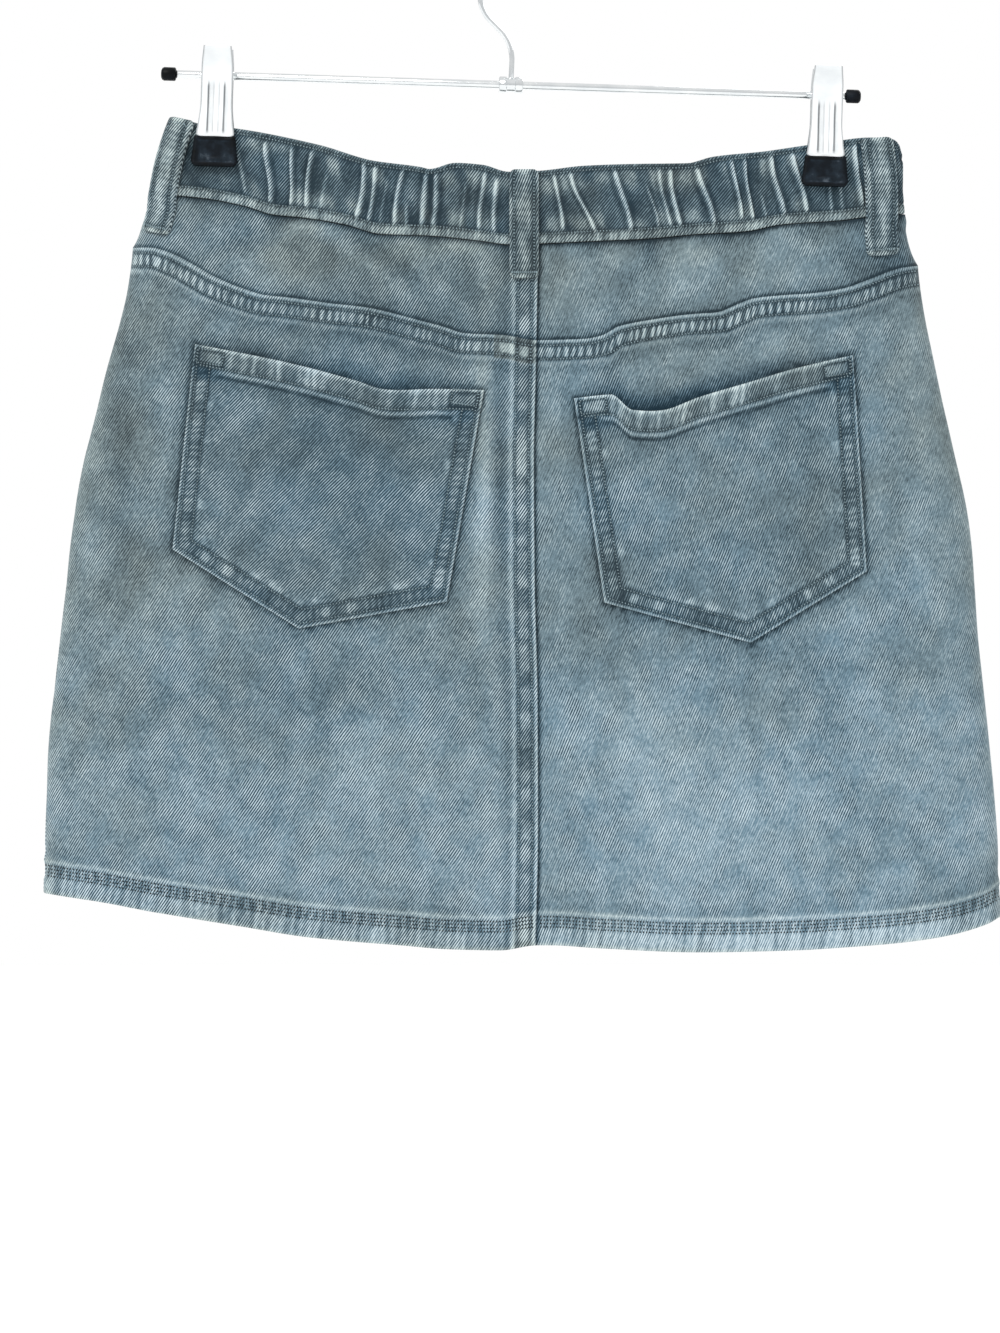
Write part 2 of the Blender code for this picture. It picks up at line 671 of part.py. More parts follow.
def garment():
    back_waistband()
    front_waistband()
    panels()
    for side in POCKETS:
        pocket(side)
    for name in LOOPS:
        belt_loop(name)
    for face in (BACK, FRONT):
        for side in ("left", "right"):
            shorts_panel(face, side)


clear_scene()
garment()
hanger()
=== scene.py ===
"""A denim skort hung from a clip hanger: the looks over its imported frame.

The garment's cloth is a family of nested tubes round the hanger's middle plane. A point of it is given
by its face (back or front), its X and Z as seen face on, and how far `out` it lies from the back
waistband's outer face. Sizes in the tables are millimetres, the scene is in metres with +Z up, and the
origin is the inside top of the hook. Left means towards -X.
"""

import math

import bmesh
import bpy
import numpy as np
from bpy.props import FloatProperty, FloatVectorProperty, PointerProperty
from mathutils import Matrix, Vector


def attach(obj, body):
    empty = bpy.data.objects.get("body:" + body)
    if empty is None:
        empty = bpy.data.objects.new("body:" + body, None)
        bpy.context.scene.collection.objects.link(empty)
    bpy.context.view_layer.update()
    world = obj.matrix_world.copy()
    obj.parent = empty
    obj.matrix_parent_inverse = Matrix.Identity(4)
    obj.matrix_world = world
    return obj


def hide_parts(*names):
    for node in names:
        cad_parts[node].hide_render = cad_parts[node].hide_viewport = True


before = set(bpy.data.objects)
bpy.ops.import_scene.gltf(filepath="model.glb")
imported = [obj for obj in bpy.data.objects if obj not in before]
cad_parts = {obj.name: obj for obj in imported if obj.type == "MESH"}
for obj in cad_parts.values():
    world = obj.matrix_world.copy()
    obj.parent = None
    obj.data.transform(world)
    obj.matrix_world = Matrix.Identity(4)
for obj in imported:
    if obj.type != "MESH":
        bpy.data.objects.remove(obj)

bl_info = {
    "name": "Denim skort on a clip hanger",
    "version": (1, 0, 0),
    "blender": (4, 5, 0),
    "location": "View3D > Sidebar > Skort",
    "description": "Sews, stitches and hangs the skort, piece by piece",
    "category": "Add Mesh",
}

MM = 0.001
GAP = 0.3
BACK, FRONT = -1, 1
LEFT, RIGHT = -1, 1
SIDES = {"left": LEFT, "right": RIGHT}
FACES = {"back": BACK, "front": FRONT}

BAND_THICK = 4.0
DENIM_THICK = 1.1
LOOP_THICK = 2.4
KNIT_THICK = 1.0
PANEL_OUT = -1.3          # the panels' outer face, from the waistband's
SHORTS_OUT = PANEL_OUT - DENIM_THICK - GAP

# The outline at each level down the tube: side seams and centre seam along X, then the half depth in
# the middle and near the sides, and how tightly the sides fold round
GIRTH_COLUMNS = ("level", "left", "centre", "right", "deep_mid", "deep_side", "fold")
GIRTH = np.array((
    (0.0, -171.0, 9.0, 193.5, 9.0, 4.2, 30.0),
    (1.0, -182.8, 10.9, 195.1, 11.0, 4.2, 26.0),
    (1.12, -184.6, 10.9, 195.6, 11.4, 4.6, 24.0),
    (1.5, -187.6, 10.7, 197.1, 13.0, 7.0, 16.0),
    (2.0, -192.8, 10.2, 202.3, 15.0, 10.0, 10.0),
    (2.2, -207.3, 9.0, 214.3, 17.0, 13.0, 7.0),
    (2.4, -221.8, 9.4, 228.3, 19.0, 16.0, 6.0),
    (2.6, -229.3, 10.8, 233.8, 21.0, 19.0, 5.0),
    (2.8, -235.8, 11.0, 240.3, 23.0, 22.0, 4.5),
    (3.0, -237.3, 9.8, 244.3, 25.0, 25.0, 4.0),
))
CLAMP_REACH = 0.72        # share of the half width that gapes open between the clips
WAIST, BAND_SEAM, YOKE_SEAM, HEM = 0, 1, 2, 3

# Each edge and seam as (X, Z), from the left side to the right
EDGES = {
    WAIST: (
        (-171, -78), (-159, -81.5), (-141, -83.5), (-100.5, -91.5), (-73, -99.5), (-48, -103),
        (-43.5, -104), (-30.5, -101), (-17, -102), (-3.5, -105.5), (11.5, -105), (34, -102.5),
        (59.5, -101.5), (86, -101), (100.5, -97.5), (124.5, -95), (145.5, -92), (163.5, -89.5),
        (177, -88), (186, -88), (190, -89), (192.4, -91.4), (193.5, -95),
    ),
    BAND_SEAM: (
        (-182.5, -116), (-170.5, -117), (-156, -118.5), (-135.5, -122.5), (-122.5, -126.5),
        (-108, -128), (-86.5, -131.5), (-68, -136.5), (-43.5, -137.5), (-19, -140), (-3.5, -142),
        (12.5, -141.5), (44, -140), (64.5, -139), (92, -136.5), (115, -135), (134, -131.5),
        (162.5, -129.5), (178, -127.5), (194.5, -126),
    ),
    YOKE_SEAM: (
        (-191, -143), (-181.5, -143.5), (-171, -147), (-160.5, -152.5), (-151, -158), (-138, -163.5),
        (-124.5, -167.5), (-114.5, -168.5), (-93, -171.5), (-75, -173.5), (-63.5, -176),
        (-48.5, -180), (-37, -183), (-25.5, -186.5), (-6, -187.5), (9, -190), (34, -189.3),
        (43, -187.5), (51.5, -183), (69, -179.5), (87, -177), (100.5, -176), (112, -171.5),
        (119, -169), (133, -167.5), (148, -166.5), (163.5, -164), (177.5, -159), (190.5, -154),
        (200.5, -152),
    ),
    HEM: (
        (-236, -466.5), (-208, -470.5), (-183, -475), (-158, -479), (-133, -483), (-108, -487),
        (-83, -489.5), (-58, -491.5), (-33, -493.5), (-8, -494), (10, -491.5), (17, -491.5),
        (42, -493), (92, -495), (142, -494), (167, -492.5), (192, -490.5), (217, -487),
        (237, -481.5), (243, -478.5),
    ),
}
FRONT_DROP = (6.0, 6.0, 3.0, -2.0)      # how far the front's edges hang lower in the middle

# Pale creases that the elastic gathers into the back waistband: place at its top and its seam, height,
# and the stretch of the band, from 0 at its top to 1 at its seam, that each runs over
CREASE_COLUMNS = ("top", "seam", "height", "start", "stop")
CREASES = (
    (-138.0, -135.5, 0.6, 0.3, 0.8), (-125.5, -124.0, 0.9, 0.16, 0.84), (-111.5, -113.5, 0.9, 0.14, 0.84),
    (-100.5, -105.0, 0.95, 0.14, 0.84), (-91.5, -98.5, 0.4, 0.4, 0.8), (-76.0, -81.5, 0.95, 0.1, 0.84),
    (-70.2, -75.0, 0.9, 0.12, 0.84), (-62.5, -68.5, 0.45, 0.3, 0.84), (-55.8, -60.8, 0.95, 0.12, 0.84),
    (-52.0, -54.5, 0.6, 0.6, 0.86), (-44.7, -47.7, 0.9, 0.12, 0.84), (-40.2, -42.2, 0.9, 0.12, 0.84),
    (-25.0, -29.0, 0.4, 0.3, 0.84), (-14.8, -18.3, 0.9, 0.14, 0.84), (-8.8, -10.5, 0.85, 0.18, 0.84),
    (18.4, 23.4, 0.9, 0.12, 0.8), (27.0, 40.6, 0.95, 0.12, 0.86), (48.5, 57.4, 0.95, 0.12, 0.86),
    (62.5, 71.5, 0.55, 0.35, 0.86), (71.5, 78.5, 0.6, 0.1, 0.84), (77.3, 83.4, 0.95, 0.12, 0.86),
    (89.8, 99.5, 0.95, 0.12, 0.86), (107.0, 113.2, 0.95, 0.12, 0.8), (114.2, 119.4, 0.9, 0.12, 0.84),
    (121.5, 126.0, 0.5, 0.6, 0.86), (127.5, 135.2, 0.95, 0.1, 0.86), (137.2, 145.8, 0.95, 0.12, 0.84),
    (156.5, 158.3, 0.6, 0.56, 0.86), (162.5, 164.2, 0.5, 0.56, 0.86), (169.3, 174.0, 0.9, 0.1, 0.84),
)

# The five-sided back pockets: corners as (X, Z), and how the mouth sags and stands off across it
POCKETS = {
    "left": {
        "top_left": (-160.5, -192.0), "top_right": (-16.0, -215.0), "low_right": (-34.5, -320.5),
        "point": (-108.5, -334.0), "low_left": (-171.5, -294.5),
        "mouth": ((0.0, 0.0, 0.0), (0.28, 1.6, 0.6), (0.56, 5.6, 1.4), (0.64, 7.6, 1.6),
                  (0.84, 3.1, 0.7), (1.0, 0.0, 0.0)),
    },
    "right": {
        "top_left": (29.0, -219.0), "top_right": (168.5, -197.5), "low_right": (175.0, -305.5),
        "point": (117.0, -341.0), "low_left": (44.0, -321.0),
        "mouth": ((0.0, 0.0, 0.0), (0.13, 1.0, 1.4), (0.21, 10.5, 3.6), (0.32, 13.0, 4.0),
                  (0.45, 9.2, 3.0), (0.62, 5.8, 1.8), (0.8, 2.2, 0.8), (1.0, 0.0, 0.0)),
    },
}

# Belt loops: face, X and Z of the top and the bottom, the width seen face on, the twill's rise, and how
# much paler the wash left each one
LOOP_COLUMNS = ("face", "top_x", "top_z", "low_x", "low_z", "width", "grain", "pale")
LOOPS = {
    "back": (BACK, 4.1, -104.5, 4.2, -159.2, 14.6, 66.0, -0.14),
    "side_left": (BACK, -165.8, -78.5, -179.8, -136.0, 13.0, 50.0, 0.12),
    "side_right": (BACK, 178.5, -88.2, 182.8, -147.5, 15.0, 60.0, -0.04),
    "front_left": (FRONT, -92.0, -103.0, -94.0, -153.0, 16.0, 62.0, 0.0),
    "front_right": (FRONT, 106.0, -104.0, 108.0, -154.0, 16.0, 66.0, 0.0),
}

# Soft folds: face, start and end as X and Z, half width, and height, negative for a trough
FOLD_COLUMNS = ("face", "x0", "z0", "x1", "z1", "width", "height")
FOLDS = (
    (BACK, -16.0, -196.0, -15.0, -345.0, 5.0, 1.7),
    (BACK, -8.0, -196.0, -7.0, -330.0, 3.2, -1.1),
    (BACK, -19.0, -140.0, -10.0, -182.0, 2.6, 1.1),
    (BACK, -27.0, -140.0, -18.0, -180.0, 3.0, -0.9),
    (BACK, -98.0, -132.0, -54.0, -168.0, 4.6, 1.5),
    (BACK, -88.0, -132.0, -42.0, -166.0, 3.6, -1.0),
    (BACK, -112.0, -132.0, -120.0, -156.0, 7.0, 1.2),
    (BACK, -60.0, -136.0, -34.0, -168.0, 4.0, 0.8),
    (BACK, 28.0, -144.0, 20.0, -180.0, 5.0, 1.0),
    (BACK, 62.0, -140.0, 46.0, -176.0, 6.0, -1.0),
    (BACK, 92.0, -138.0, 78.0, -172.0, 7.0, 1.1),
    (BACK, 140.0, -132.0, 128.0, -162.0, 6.0, 0.8),
    (BACK, -200.0, -170.0, -196.0, -330.0, 8.0, -1.4),
    (BACK, 186.0, -190.0, 196.0, -350.0, 9.0, -1.0),
    (BACK, -60.0, -350.0, -95.0, -450.0, 16.0, 0.9),
    (BACK, 60.0, -355.0, 72.0, -460.0, 18.0, 0.8),
    (BACK, 150.0, -350.0, 176.0, -455.0, 15.0, -0.8),
    (FRONT, -60.0, -150.0, -44.0, -250.0, 6.0, 1.2),
    (FRONT, -20.0, -152.0, -12.0, -240.0, 5.0, -0.9),
    (FRONT, 44.0, -150.0, 30.0, -255.0, 6.0, 1.1),
    (FRONT, 90.0, -146.0, 70.0, -215.0, 7.0, -1.0),
    (FRONT, -120.0, -140.0, -130.0, -230.0, 8.0, 1.0),
    (FRONT, 150.0, -140.0, 166.0, -260.0, 9.0, 1.0),
    (FRONT, -110.0, -300.0, -120.0, -450.0, 16.0, 0.9),
    (FRONT, 100.0, -290.0, 112.0, -445.0, 17.0, -0.8),
)

# Spots where the denim is paler (+) or darker (-), and bluer (+) or greyer (-): centre, reach
# along X and Z, and amounts. Some are the wash's clouds, and some are painted shade and painted light
# on the cloth's folds and bulges.
WASH_AND_SHADE_COLUMNS = ("x", "z", "reach_x", "reach_z", "tone", "blue")
WASH_AND_SHADE = (
    (-205.0, -250.0, 32.0, 110.0, -0.04, -0.30),
    (-186.0, -196.0, 26.0, 40.0, -0.15, -0.10),
    (-108.0, -147.0, 20.0, 10.0, -0.06, -0.9),
    (-126.0, -136.0, 44.0, 12.0, -0.30, 0.1),
    (-108.0, -132.0, 11.0, 5.0, 0.46, -0.6),
    (-28.0, -142.0, 12.0, 4.5, 0.36, -0.5),
    (67.0, -144.0, 4.0, 9.0, -0.34, 0.2),
    (52.0, -147.0, 9.0, 8.0, 0.16, -0.3),
    (88.0, -146.0, 13.0, 8.0, 0.18, -0.3),
    (-55.0, -146.0, 26.0, 10.0, -0.12, -0.5),
    (-78.0, -163.0, 38.0, 22.0, -0.24, -0.10),
    (-24.0, -164.0, 30.0, 26.0, -0.21, 0.0),
    (60.0, -158.0, 60.0, 24.0, -0.10, -0.35),
    (186.0, -148.0, 26.0, 22.0, -0.50, 0.1),
    (-80.0, -192.0, 70.0, 16.0, -0.18, 0.1),
    (-16.5, -215.0, 5.0, 30.0, 0.10, -0.5),
    (-9.0, -250.0, 3.2, 56.0, -0.26, 0.0),
    (-12.0, -270.0, 18.0, 80.0, 0.10, 0.1),
    (-95.0, -262.0, 62.0, 52.0, -0.18, 0.2),
    (100.0, -270.0, 70.0, 50.0, 0.14, 0.1),
    (-105.0, -365.0, 90.0, 30.0, -0.22, 0.2),
    (-120.0, -430.0, 110.0, 45.0, 0.04, 0.4),
    (-160.0, -458.0, 90.0, 12.0, 0.12, 0.2),
    (120.0, -345.0, 70.0, 22.0, -0.16, 0.1),
    (120.0, -420.0, 120.0, 65.0, 0.22, 0.5),
    (200.0, -250.0, 28.0, 70.0, 0.04, -0.2),
    (210.0, -370.0, 30.0, 60.0, 0.07, 0.3),
    (130.0, -489.0, 110.0, 11.0, 0.4, 0.3),
)


def ease(x, low, high):
    """0 up to low, 1 from high on, and a smooth rise between them."""
    f = np.clip((x - low) / (high - low), 0.0, 1.0)
    return f * f * (3 - 2 * f)


def lerp(a, b, f):
    return a + (b - a) * f


def bump(x, centre, reach):
    return np.exp(-((x - centre) / reach) ** 2)


def curve(knots, x, column=1):
    """A smooth curve through the rows of knots, which never overshoots them, read at every x."""
    table = np.asarray(knots, float)
    xs, ys = table[:, 0], table[:, column]
    x = np.clip(x, xs[0], xs[-1])
    rise = np.diff(ys) / np.diff(xs)
    slope = np.concatenate([rise[:1], np.zeros(len(ys) - 2), rise[-1:]])
    same = rise[:-1] * rise[1:] > 0
    slope[1:-1][same] = (2 * rise[:-1] * rise[1:])[same] / (rise[:-1] + rise[1:])[same]
    i = np.clip(np.searchsorted(xs, x) - 1, 0, len(xs) - 2)
    span = xs[i + 1] - xs[i]
    f = (x - xs[i]) / span
    value = (2 * f**3 - 3 * f**2 + 1) * ys[i] + (3 * f**2 - 2 * f**3) * ys[i + 1]
    return value + span * ((f**3 - 2 * f**2 + f) * slope[i] + (f**3 - f**2) * slope[i + 1])


def rough(x, z, size, seed):
    """Smooth unevenness from -1 to 1 that varies over about `size` millimetres, the same in each run."""
    gx, gz = x / size, z / size
    ix, iz = np.floor(gx), np.floor(gz)
    fx, fz = gx - ix, gz - iz
    fx, fz = fx * fx * (3 - 2 * fx), fz * fz * (3 - 2 * fz)

    def at(i, j):
        h = np.sin((ix + i) * 127.1 + (iz + j) * 311.7 + seed * 74.7) * 43758.5453
        return 2 * (h - np.floor(h)) - 1

    return lerp(lerp(at(0, 0), at(1, 0), fx), lerp(at(0, 1), at(1, 1), fx), fz)


def girth(level):
    return {name: curve(GIRTH, level, i) for i, name in enumerate(GIRTH_COLUMNS) if i}


def half_width(ring, side):
    return np.where(side >= 0, ring["right"] - ring["centre"], ring["centre"] - ring["left"])


def edge_height(face, edge, across):
    ring = girth(float(edge))
    z = curve(EDGES[edge], ring["centre"] + across * half_width(ring, across))
    return z - (FRONT_DROP[edge] * (1 - across**2) if face == FRONT else 0.0)


def level_at(face, across, z):
    """The level down the tube of a height on the line that runs down it at `across`."""
    rows = [edge_height(face, edge, across) for edge in EDGES]
    return sum(np.clip((a - z) / (a - b), 0.0, 1.0) for a, b in zip(rows, rows[1:]))


def cloth(face, across, z, out):
    """Points, in millimetres, of the layer that lies `out` from the waistband's outer face."""
    level = level_at(face, across, z)
    ring = girth(level)
    x = ring["centre"] + across * (half_width(ring, across) + out)
    gape = np.maximum(0.0, 1 - (across / CLAMP_REACH) ** 2) ** 2
    gape = lerp(gape, 1.0, ease(level, 1.0, 2.4))
    deep = np.maximum(lerp(ring["deep_side"], ring["deep_mid"], gape) + out, 0.0)
    y = GAP / 2 + deep * np.sqrt(np.maximum(0.0, 1 - np.abs(across) ** ring["fold"]))
    return np.stack([x, face * y, z + 0 * x], axis=-1)


def across_of(face, x, z, out=0.0):
    """The line down the tube that passes through X and Z as seen face on."""
    across = np.zeros_like(x)
    for _ in range(6):
        ring = girth(level_at(face, across, z))
        beside = x - ring["centre"]
        across = np.clip(beside / (half_width(ring, beside) + out), -1.0, 1.0)
    return across


def named(columns, row):
    return dict(zip(columns, row))


def folds(face, x, z):
    """How far the soft folds lift the cloth."""
    lift = 0.5 * rough(x, z, 48.0, 3.0 + face) + 0.25 * rough(x, z, 21.0, 5.0 + face)
    for row in FOLDS:
        fold = named(FOLD_COLUMNS, row)
        if fold["face"] != face:
            continue
        run_x, run_z = fold["x1"] - fold["x0"], fold["z1"] - fold["z0"]
        share = ((x - fold["x0"]) * run_x + (z - fold["z0"]) * run_z) / (run_x**2 + run_z**2)
        share = np.clip(share, 0.0, 1.0)
        off = np.hypot(x - fold["x0"] - share * run_x, z - fold["z0"] - share * run_z)
        lift = lift + fold["height"] * bump(off, 0.0, fold["width"]) * (0.35 + 0.65 * np.sin(np.pi * share))
    return lift


def wash(face, x, z):
    """(tone, blue) of the denim before its seams: both run from about -1 to 1. The tone is paler on the
    soft folds' tops and darker in their troughs, as worn and as painted shade, and the listed spots add
    the wash's clouds and more painted shade and light.
    """
    tone = 0.17 * folds(face, x, z)
    blue = 0.0 * x + 0.3
    for row in WASH_AND_SHADE:
        spot = named(WASH_AND_SHADE_COLUMNS, row)
        here = bump(x, spot["x"], spot["reach_x"]) * bump(z, spot["z"], spot["reach_z"])
        tone = tone + spot["tone"] * here
        blue = blue + spot["blue"] * here
    return tone, blue


# Felled seams: the lapped edge, its two rows of stitches and the puckers between them
GROOVE = 1.05             # reach of the dark groove that a row of stitches is sunk in: painted shade and unworn indigo
FELL_ROWS = (2.8, 9.6)
FELL_THICK = 1.3
FLUSH_SIDE = 1.1          # how far the side folds of the body come out to meet the waistband's
UNDER_DIP = 0.6           # how far a piece sinks where a lapped edge covers it
HEM_ROWS = (9.2, 10.9, 12.6, 14.3)
BAND_ROUND = 0.8          # radius of the waistband's folded edges
BAND_TOP_ROW = 2.3
BAND_LOW_ROW = 4.8


def felled(d, s, seed):
    """(lift, tone, pucker) of a felled seam at a distance d in from its lapped edge, s along it."""
    first, second = FELL_ROWS
    wide = rough(s, 0 * s, 6.0, seed)
    on = ease(d, -0.02, 0.05) * (1 - ease(d, second + 0.8, second + 3.6))
    between = ease(d, first + 0.2, first + 1.0) * (1 - ease(d, second - 1.0, second - 0.2))
    rows = bump(d, first, 0.7) + bump(d, second, 0.7)
    grooves = bump(d, first, GROOVE) + bump(d, second, GROOVE)
    lip = bump(d, 0.8, 0.8) * on
    lift = FELL_THICK * on + 0.15 * lip + between * (0.15 + 0.25 * wide) - 0.35 * rows
    # The rows' grooves are painted dark, as shade and unworn indigo
    tone = 0.46 * lip - 0.82 * grooves + between * (-0.12 + 0.24 * wide)
    # Past the second row comes a worn pale strip, then painted shade below the seam's raised edge
    tone = tone + 0.28 * bump(d, second + 2.1, 1.2) - 0.24 * bump(d, second + 5.4, 2.4)
    return lift, tone, between


def hem_band(e, s, seed):
    """(lift, tone, pucker) of the turned-up hem at a height e over its fold, s along it."""
    low, high = HEM_ROWS[0], HEM_ROWS[-1]
    pucker = rough(s, 0 * s, 4.6, seed + 1)
    turned = 1 - ease(e, low - 1.6, low - 0.5)
    sewn = ease(e, low - 1.5, low - 0.3) * (1 - ease(e, high + 0.3, high + 1.1))
    lift = 0.35 * turned * (0.6 + 0.6 * pucker) - 0.3 * sewn
    lift = lift + 0.45 * bump(e, high + 2.4, 1.4) - 0.35 * bump(e, high + 6.6, 3.0)
    tone = turned * (0.12 + 0.24 * pucker) - 0.05 * sewn + 0.12 * sewn * pucker
    # The pale ridge over the rows is worn, and the darker band above it is painted shade in the dip there
    tone = tone + 0.44 * bump(e, high + 2.0, 0.95) - 0.14 * bump(e, high + 5.4, 2.4)
    return lift, tone + 0.34 * bump(e, 0.4, 0.8), 0.16 * turned + 0.24 * sewn


def seam_distance(face, edge, x, z):
    """How far, square to it, a point lies below an edge or seam."""
    def height(at):
        return edge_height(face, edge, across_of_edge(edge, at))

    slope = (height(x + 0.5) - height(x - 0.5))
    return (height(x) - z) / np.sqrt(1 + slope**2)


def across_of_edge(edge, x):
    ring = girth(float(edge))
    beside = x - ring["centre"]
    return np.clip(beside / half_width(ring, beside), -1.0, 1.0)


def lapped(face, side, x, z):
    """How far a point lies in from the centre seam's lapped edge. Only the left half laps over it."""
    centre = girth(level_at(face, across_of(face, x, z), z))["centre"]
    return (centre - x) if side == LEFT else np.full_like(x, -5.0) + 0 * centre


def beside_pocket(name, x, z):
    """(depth inside the sides, depth below the mouth, place along the sides) of a point of a pocket."""
    spec = POCKETS[name]
    corners = [spec[key] for key in ("top_left", "low_left", "point", "low_right", "top_right")]
    inside, along = np.full_like(x, 1e3), np.zeros_like(x)
    for (x0, z0), (x1, z1) in zip(corners, corners[1:]):
        length = math.hypot(x1 - x0, z1 - z0)
        depth = ((z - z0) * (x1 - x0) - (x - x0) * (z1 - z0)) / length
        run = ((x - x0) * (x1 - x0) + (z - z0) * (z1 - z0)) / length
        lean = np.clip((2 * (z0 - z1) + x0 - x1) / (2 * (x1 - x0) + z0 - z1), -BAR_LEAN, BAR_LEAN)
        along = np.where(depth < inside, run + lean * depth + 3 * length, along)
        inside = np.minimum(inside, depth)
    (x0, z0), (x1, z1) = spec["top_left"], spec["top_right"]
    share = np.clip((x - x0) / (x1 - x0), 0.0, 1.0)
    below = lerp(z0, z1, share) - curve(spec["mouth"], share) - z
    return inside, below * abs(x1 - x0) / math.hypot(x1 - x0, z1 - z0), along


# How far apart the small bars of a puckered seam lie along it, how far they run across it, and how
# much they lean as the twill does
HEM_BAR_STEP = 4.6
BAR_STEP, BAR_REACH, BAR_LEAN = 3.9, 14.0, 0.15


def bars(pucker, along, across, step=BAR_STEP):
    """The marks that draw a puckered seam's small bars."""
    return {"pucker": pucker, "along": along / step, "across": across / BAR_REACH}


def merged(first, second):
    """The marks of whichever of two seams puckers more at each point."""
    more = second["pucker"] > first["pucker"]
    return {key: np.where(more, second[key], first[key]) for key in first}


# How much sharper the wash left the twill on each side of the yokes and the panels
TWILL_CRISP = {"yoke": {LEFT: 0.14, RIGHT: -0.2}, "panel": {LEFT: 0.0, RIGHT: -0.22}}


def body_surface(face, side, part, x, z):
    """(out, marks) of a yoke's or a panel's outer face."""
    tone, blue = wash(face, x, z)
    out = PANEL_OUT + folds(face, x, z)
    in_lap = lapped(face, side, x, z)
    lift, shade, between = felled(in_lap, z + in_lap, 11.0 + face)
    out, tone = out + lift, tone + shade
    # The centre seam shows the twill stretched hard and worn in spots, not drawn up into bars
    crisp = TWILL_CRISP[part][side] + 0.55 * between
    tone = tone + between * (-0.16 + 0.5 * rough(z, 0 * z, 4.2, 12.0 + face))
    seam = bars(0.12 * between, z + in_lap, in_lap)
    if side == RIGHT:
        centre = girth(level_at(face, across_of(face, x, z), z))["centre"]
        out = out - UNDER_DIP * ease(centre - x, 0.0, 1.5)
        # Painted shade on the right half just beside the lapped edge that overhangs it
        tone = tone - 0.9 * bump(x - centre, 0.5, 1.0)
    below_band = seam_distance(face, BAND_SEAM, x, z)
    # Painted shadow under the waistband's lower edge, uneven along it
    uneven = 0.5 + 0.7 * rough(x, 0 * x, 13.0, 23.0 + face)
    tone = tone - 0.9 * bump(below_band, 0.0, 1.8) - 0.4 * uneven * bump(below_band, 0.0, 7.0)
    out = out + FLUSH_SIDE * ease(np.abs(across_of(face, x, z)), 0.975, 0.995) * (1 - ease(below_band, 3.0, 9.0))
    below = seam_distance(face, YOKE_SEAM, x, z)
    if part == "yoke":
        out = out - UNDER_DIP * ease(below, 0.0, 1.5)
        # Painted shade on the yoke just above the panel's lapped edge that overhangs it, and a softer wider one
        tone = tone - 0.8 * bump(below, -0.5, 1.0) - 0.16 * bump(below, -3.0, 3.0)
    elif face == BACK:
        lean = x + BAR_LEAN * below
        lift, shade, between = felled(below, lean, 21.0)
        fade = 1 - ease(np.abs(across_of(face, x, z)), 0.93, 0.985)
        out, tone = out + lift * fade, tone + shade
        # Where the two felled seams cross, four layers more stand up and are bleached nearly white
        square = ease(below, 3.4, 4.2) * (1 - ease(below, 8.4, 9.2)) * ease(in_lap, 3.2, 4.0)
        square = square * (1 - ease(in_lap, 17.2, 18.2)) * (1 - bump(in_lap, FELL_ROWS[1], 1.2))
        plain = ease(below, -0.5, 0.5) * (1 - ease(below, 11.0, 12.0)) * ease(in_lap, 0.0, 1.0)
        plain = plain * (1 - ease(in_lap, 20.5, 21.5))
        tone = tone - plain * shade + plain * (0.3 * bump(below, 0.9, 1.0) - 0.1) + 0.75 * square
        # The rows' grooves where the seams cross are painted dark, as shade and unworn indigo
        tone = tone - 0.5 * plain * (bump(below, FELL_ROWS[0], 0.8) + bump(below, FELL_ROWS[1], 0.8))
        blue, crisp = blue - 1.2 * plain, crisp * (1 - plain)
        crisp = crisp + 0.34 * between * (1 - plain)
        seam = merged(seam, bars(between * (0.4 + 0.26 * rough(lean, 0 * x, 8.0, 22.0)), lean, below))
        seam["pucker"] = seam["pucker"] * (1 - plain)
        for name, spec in POCKETS.items():
            inside, under, _ = beside_pocket(name, x, z)
            beside = np.minimum(inside, under)
            # Painted shade on the panel round each pocket's edges
            tone = tone - 0.7 * bump(beside, -0.4, 1.1) - 0.16 * bump(beside, -3.0, 4.0)
            share = (x - spec["top_left"][0]) / (spec["top_right"][0] - spec["top_left"][0])
            # Painted shade, darker and bluer, on the panel inside each pocket's gaping mouth, deeper where it stands
            # off more
            shaded = curve(spec["mouth"], share, 2) * bump(under, -1.5, 6.5) * ease(inside, -2.0, 3.0)
            tone, blue = tone - 0.2 * shaded, blue + 0.25 * shaded
    if part != "yoke":
        above = -seam_distance(face, HEM, x, z)
        lean = x - BAR_LEAN * above
        lift, shade, pucker = hem_band(above, lean, 31.0 + face)
        out, tone, crisp = out + lift, tone + shade, crisp + 0.12 * (1 - ease(above, 7.5, 9.0))
        seam = merged(seam, bars(pucker, lean, above, HEM_BAR_STEP))
        blue = blue + 0.2 * (1 - ease(above, 14.0, 60.0))
        over = (1 - ease(above, 14.0, 17.0)) * ease(in_lap, 0.2, 1.0) * (1 - ease(in_lap, 11.0, 12.5))
        tone = tone + 0.36 * over
        blue = blue - 0.5 * over - 0.5 * bump(above, 0.5, 1.3) - 0.35 * bump(above, HEM_ROWS[-1] + 2.5, 1.3)
    return out, {"tone": tone, "blue": blue, "crisp": crisp, **seam}


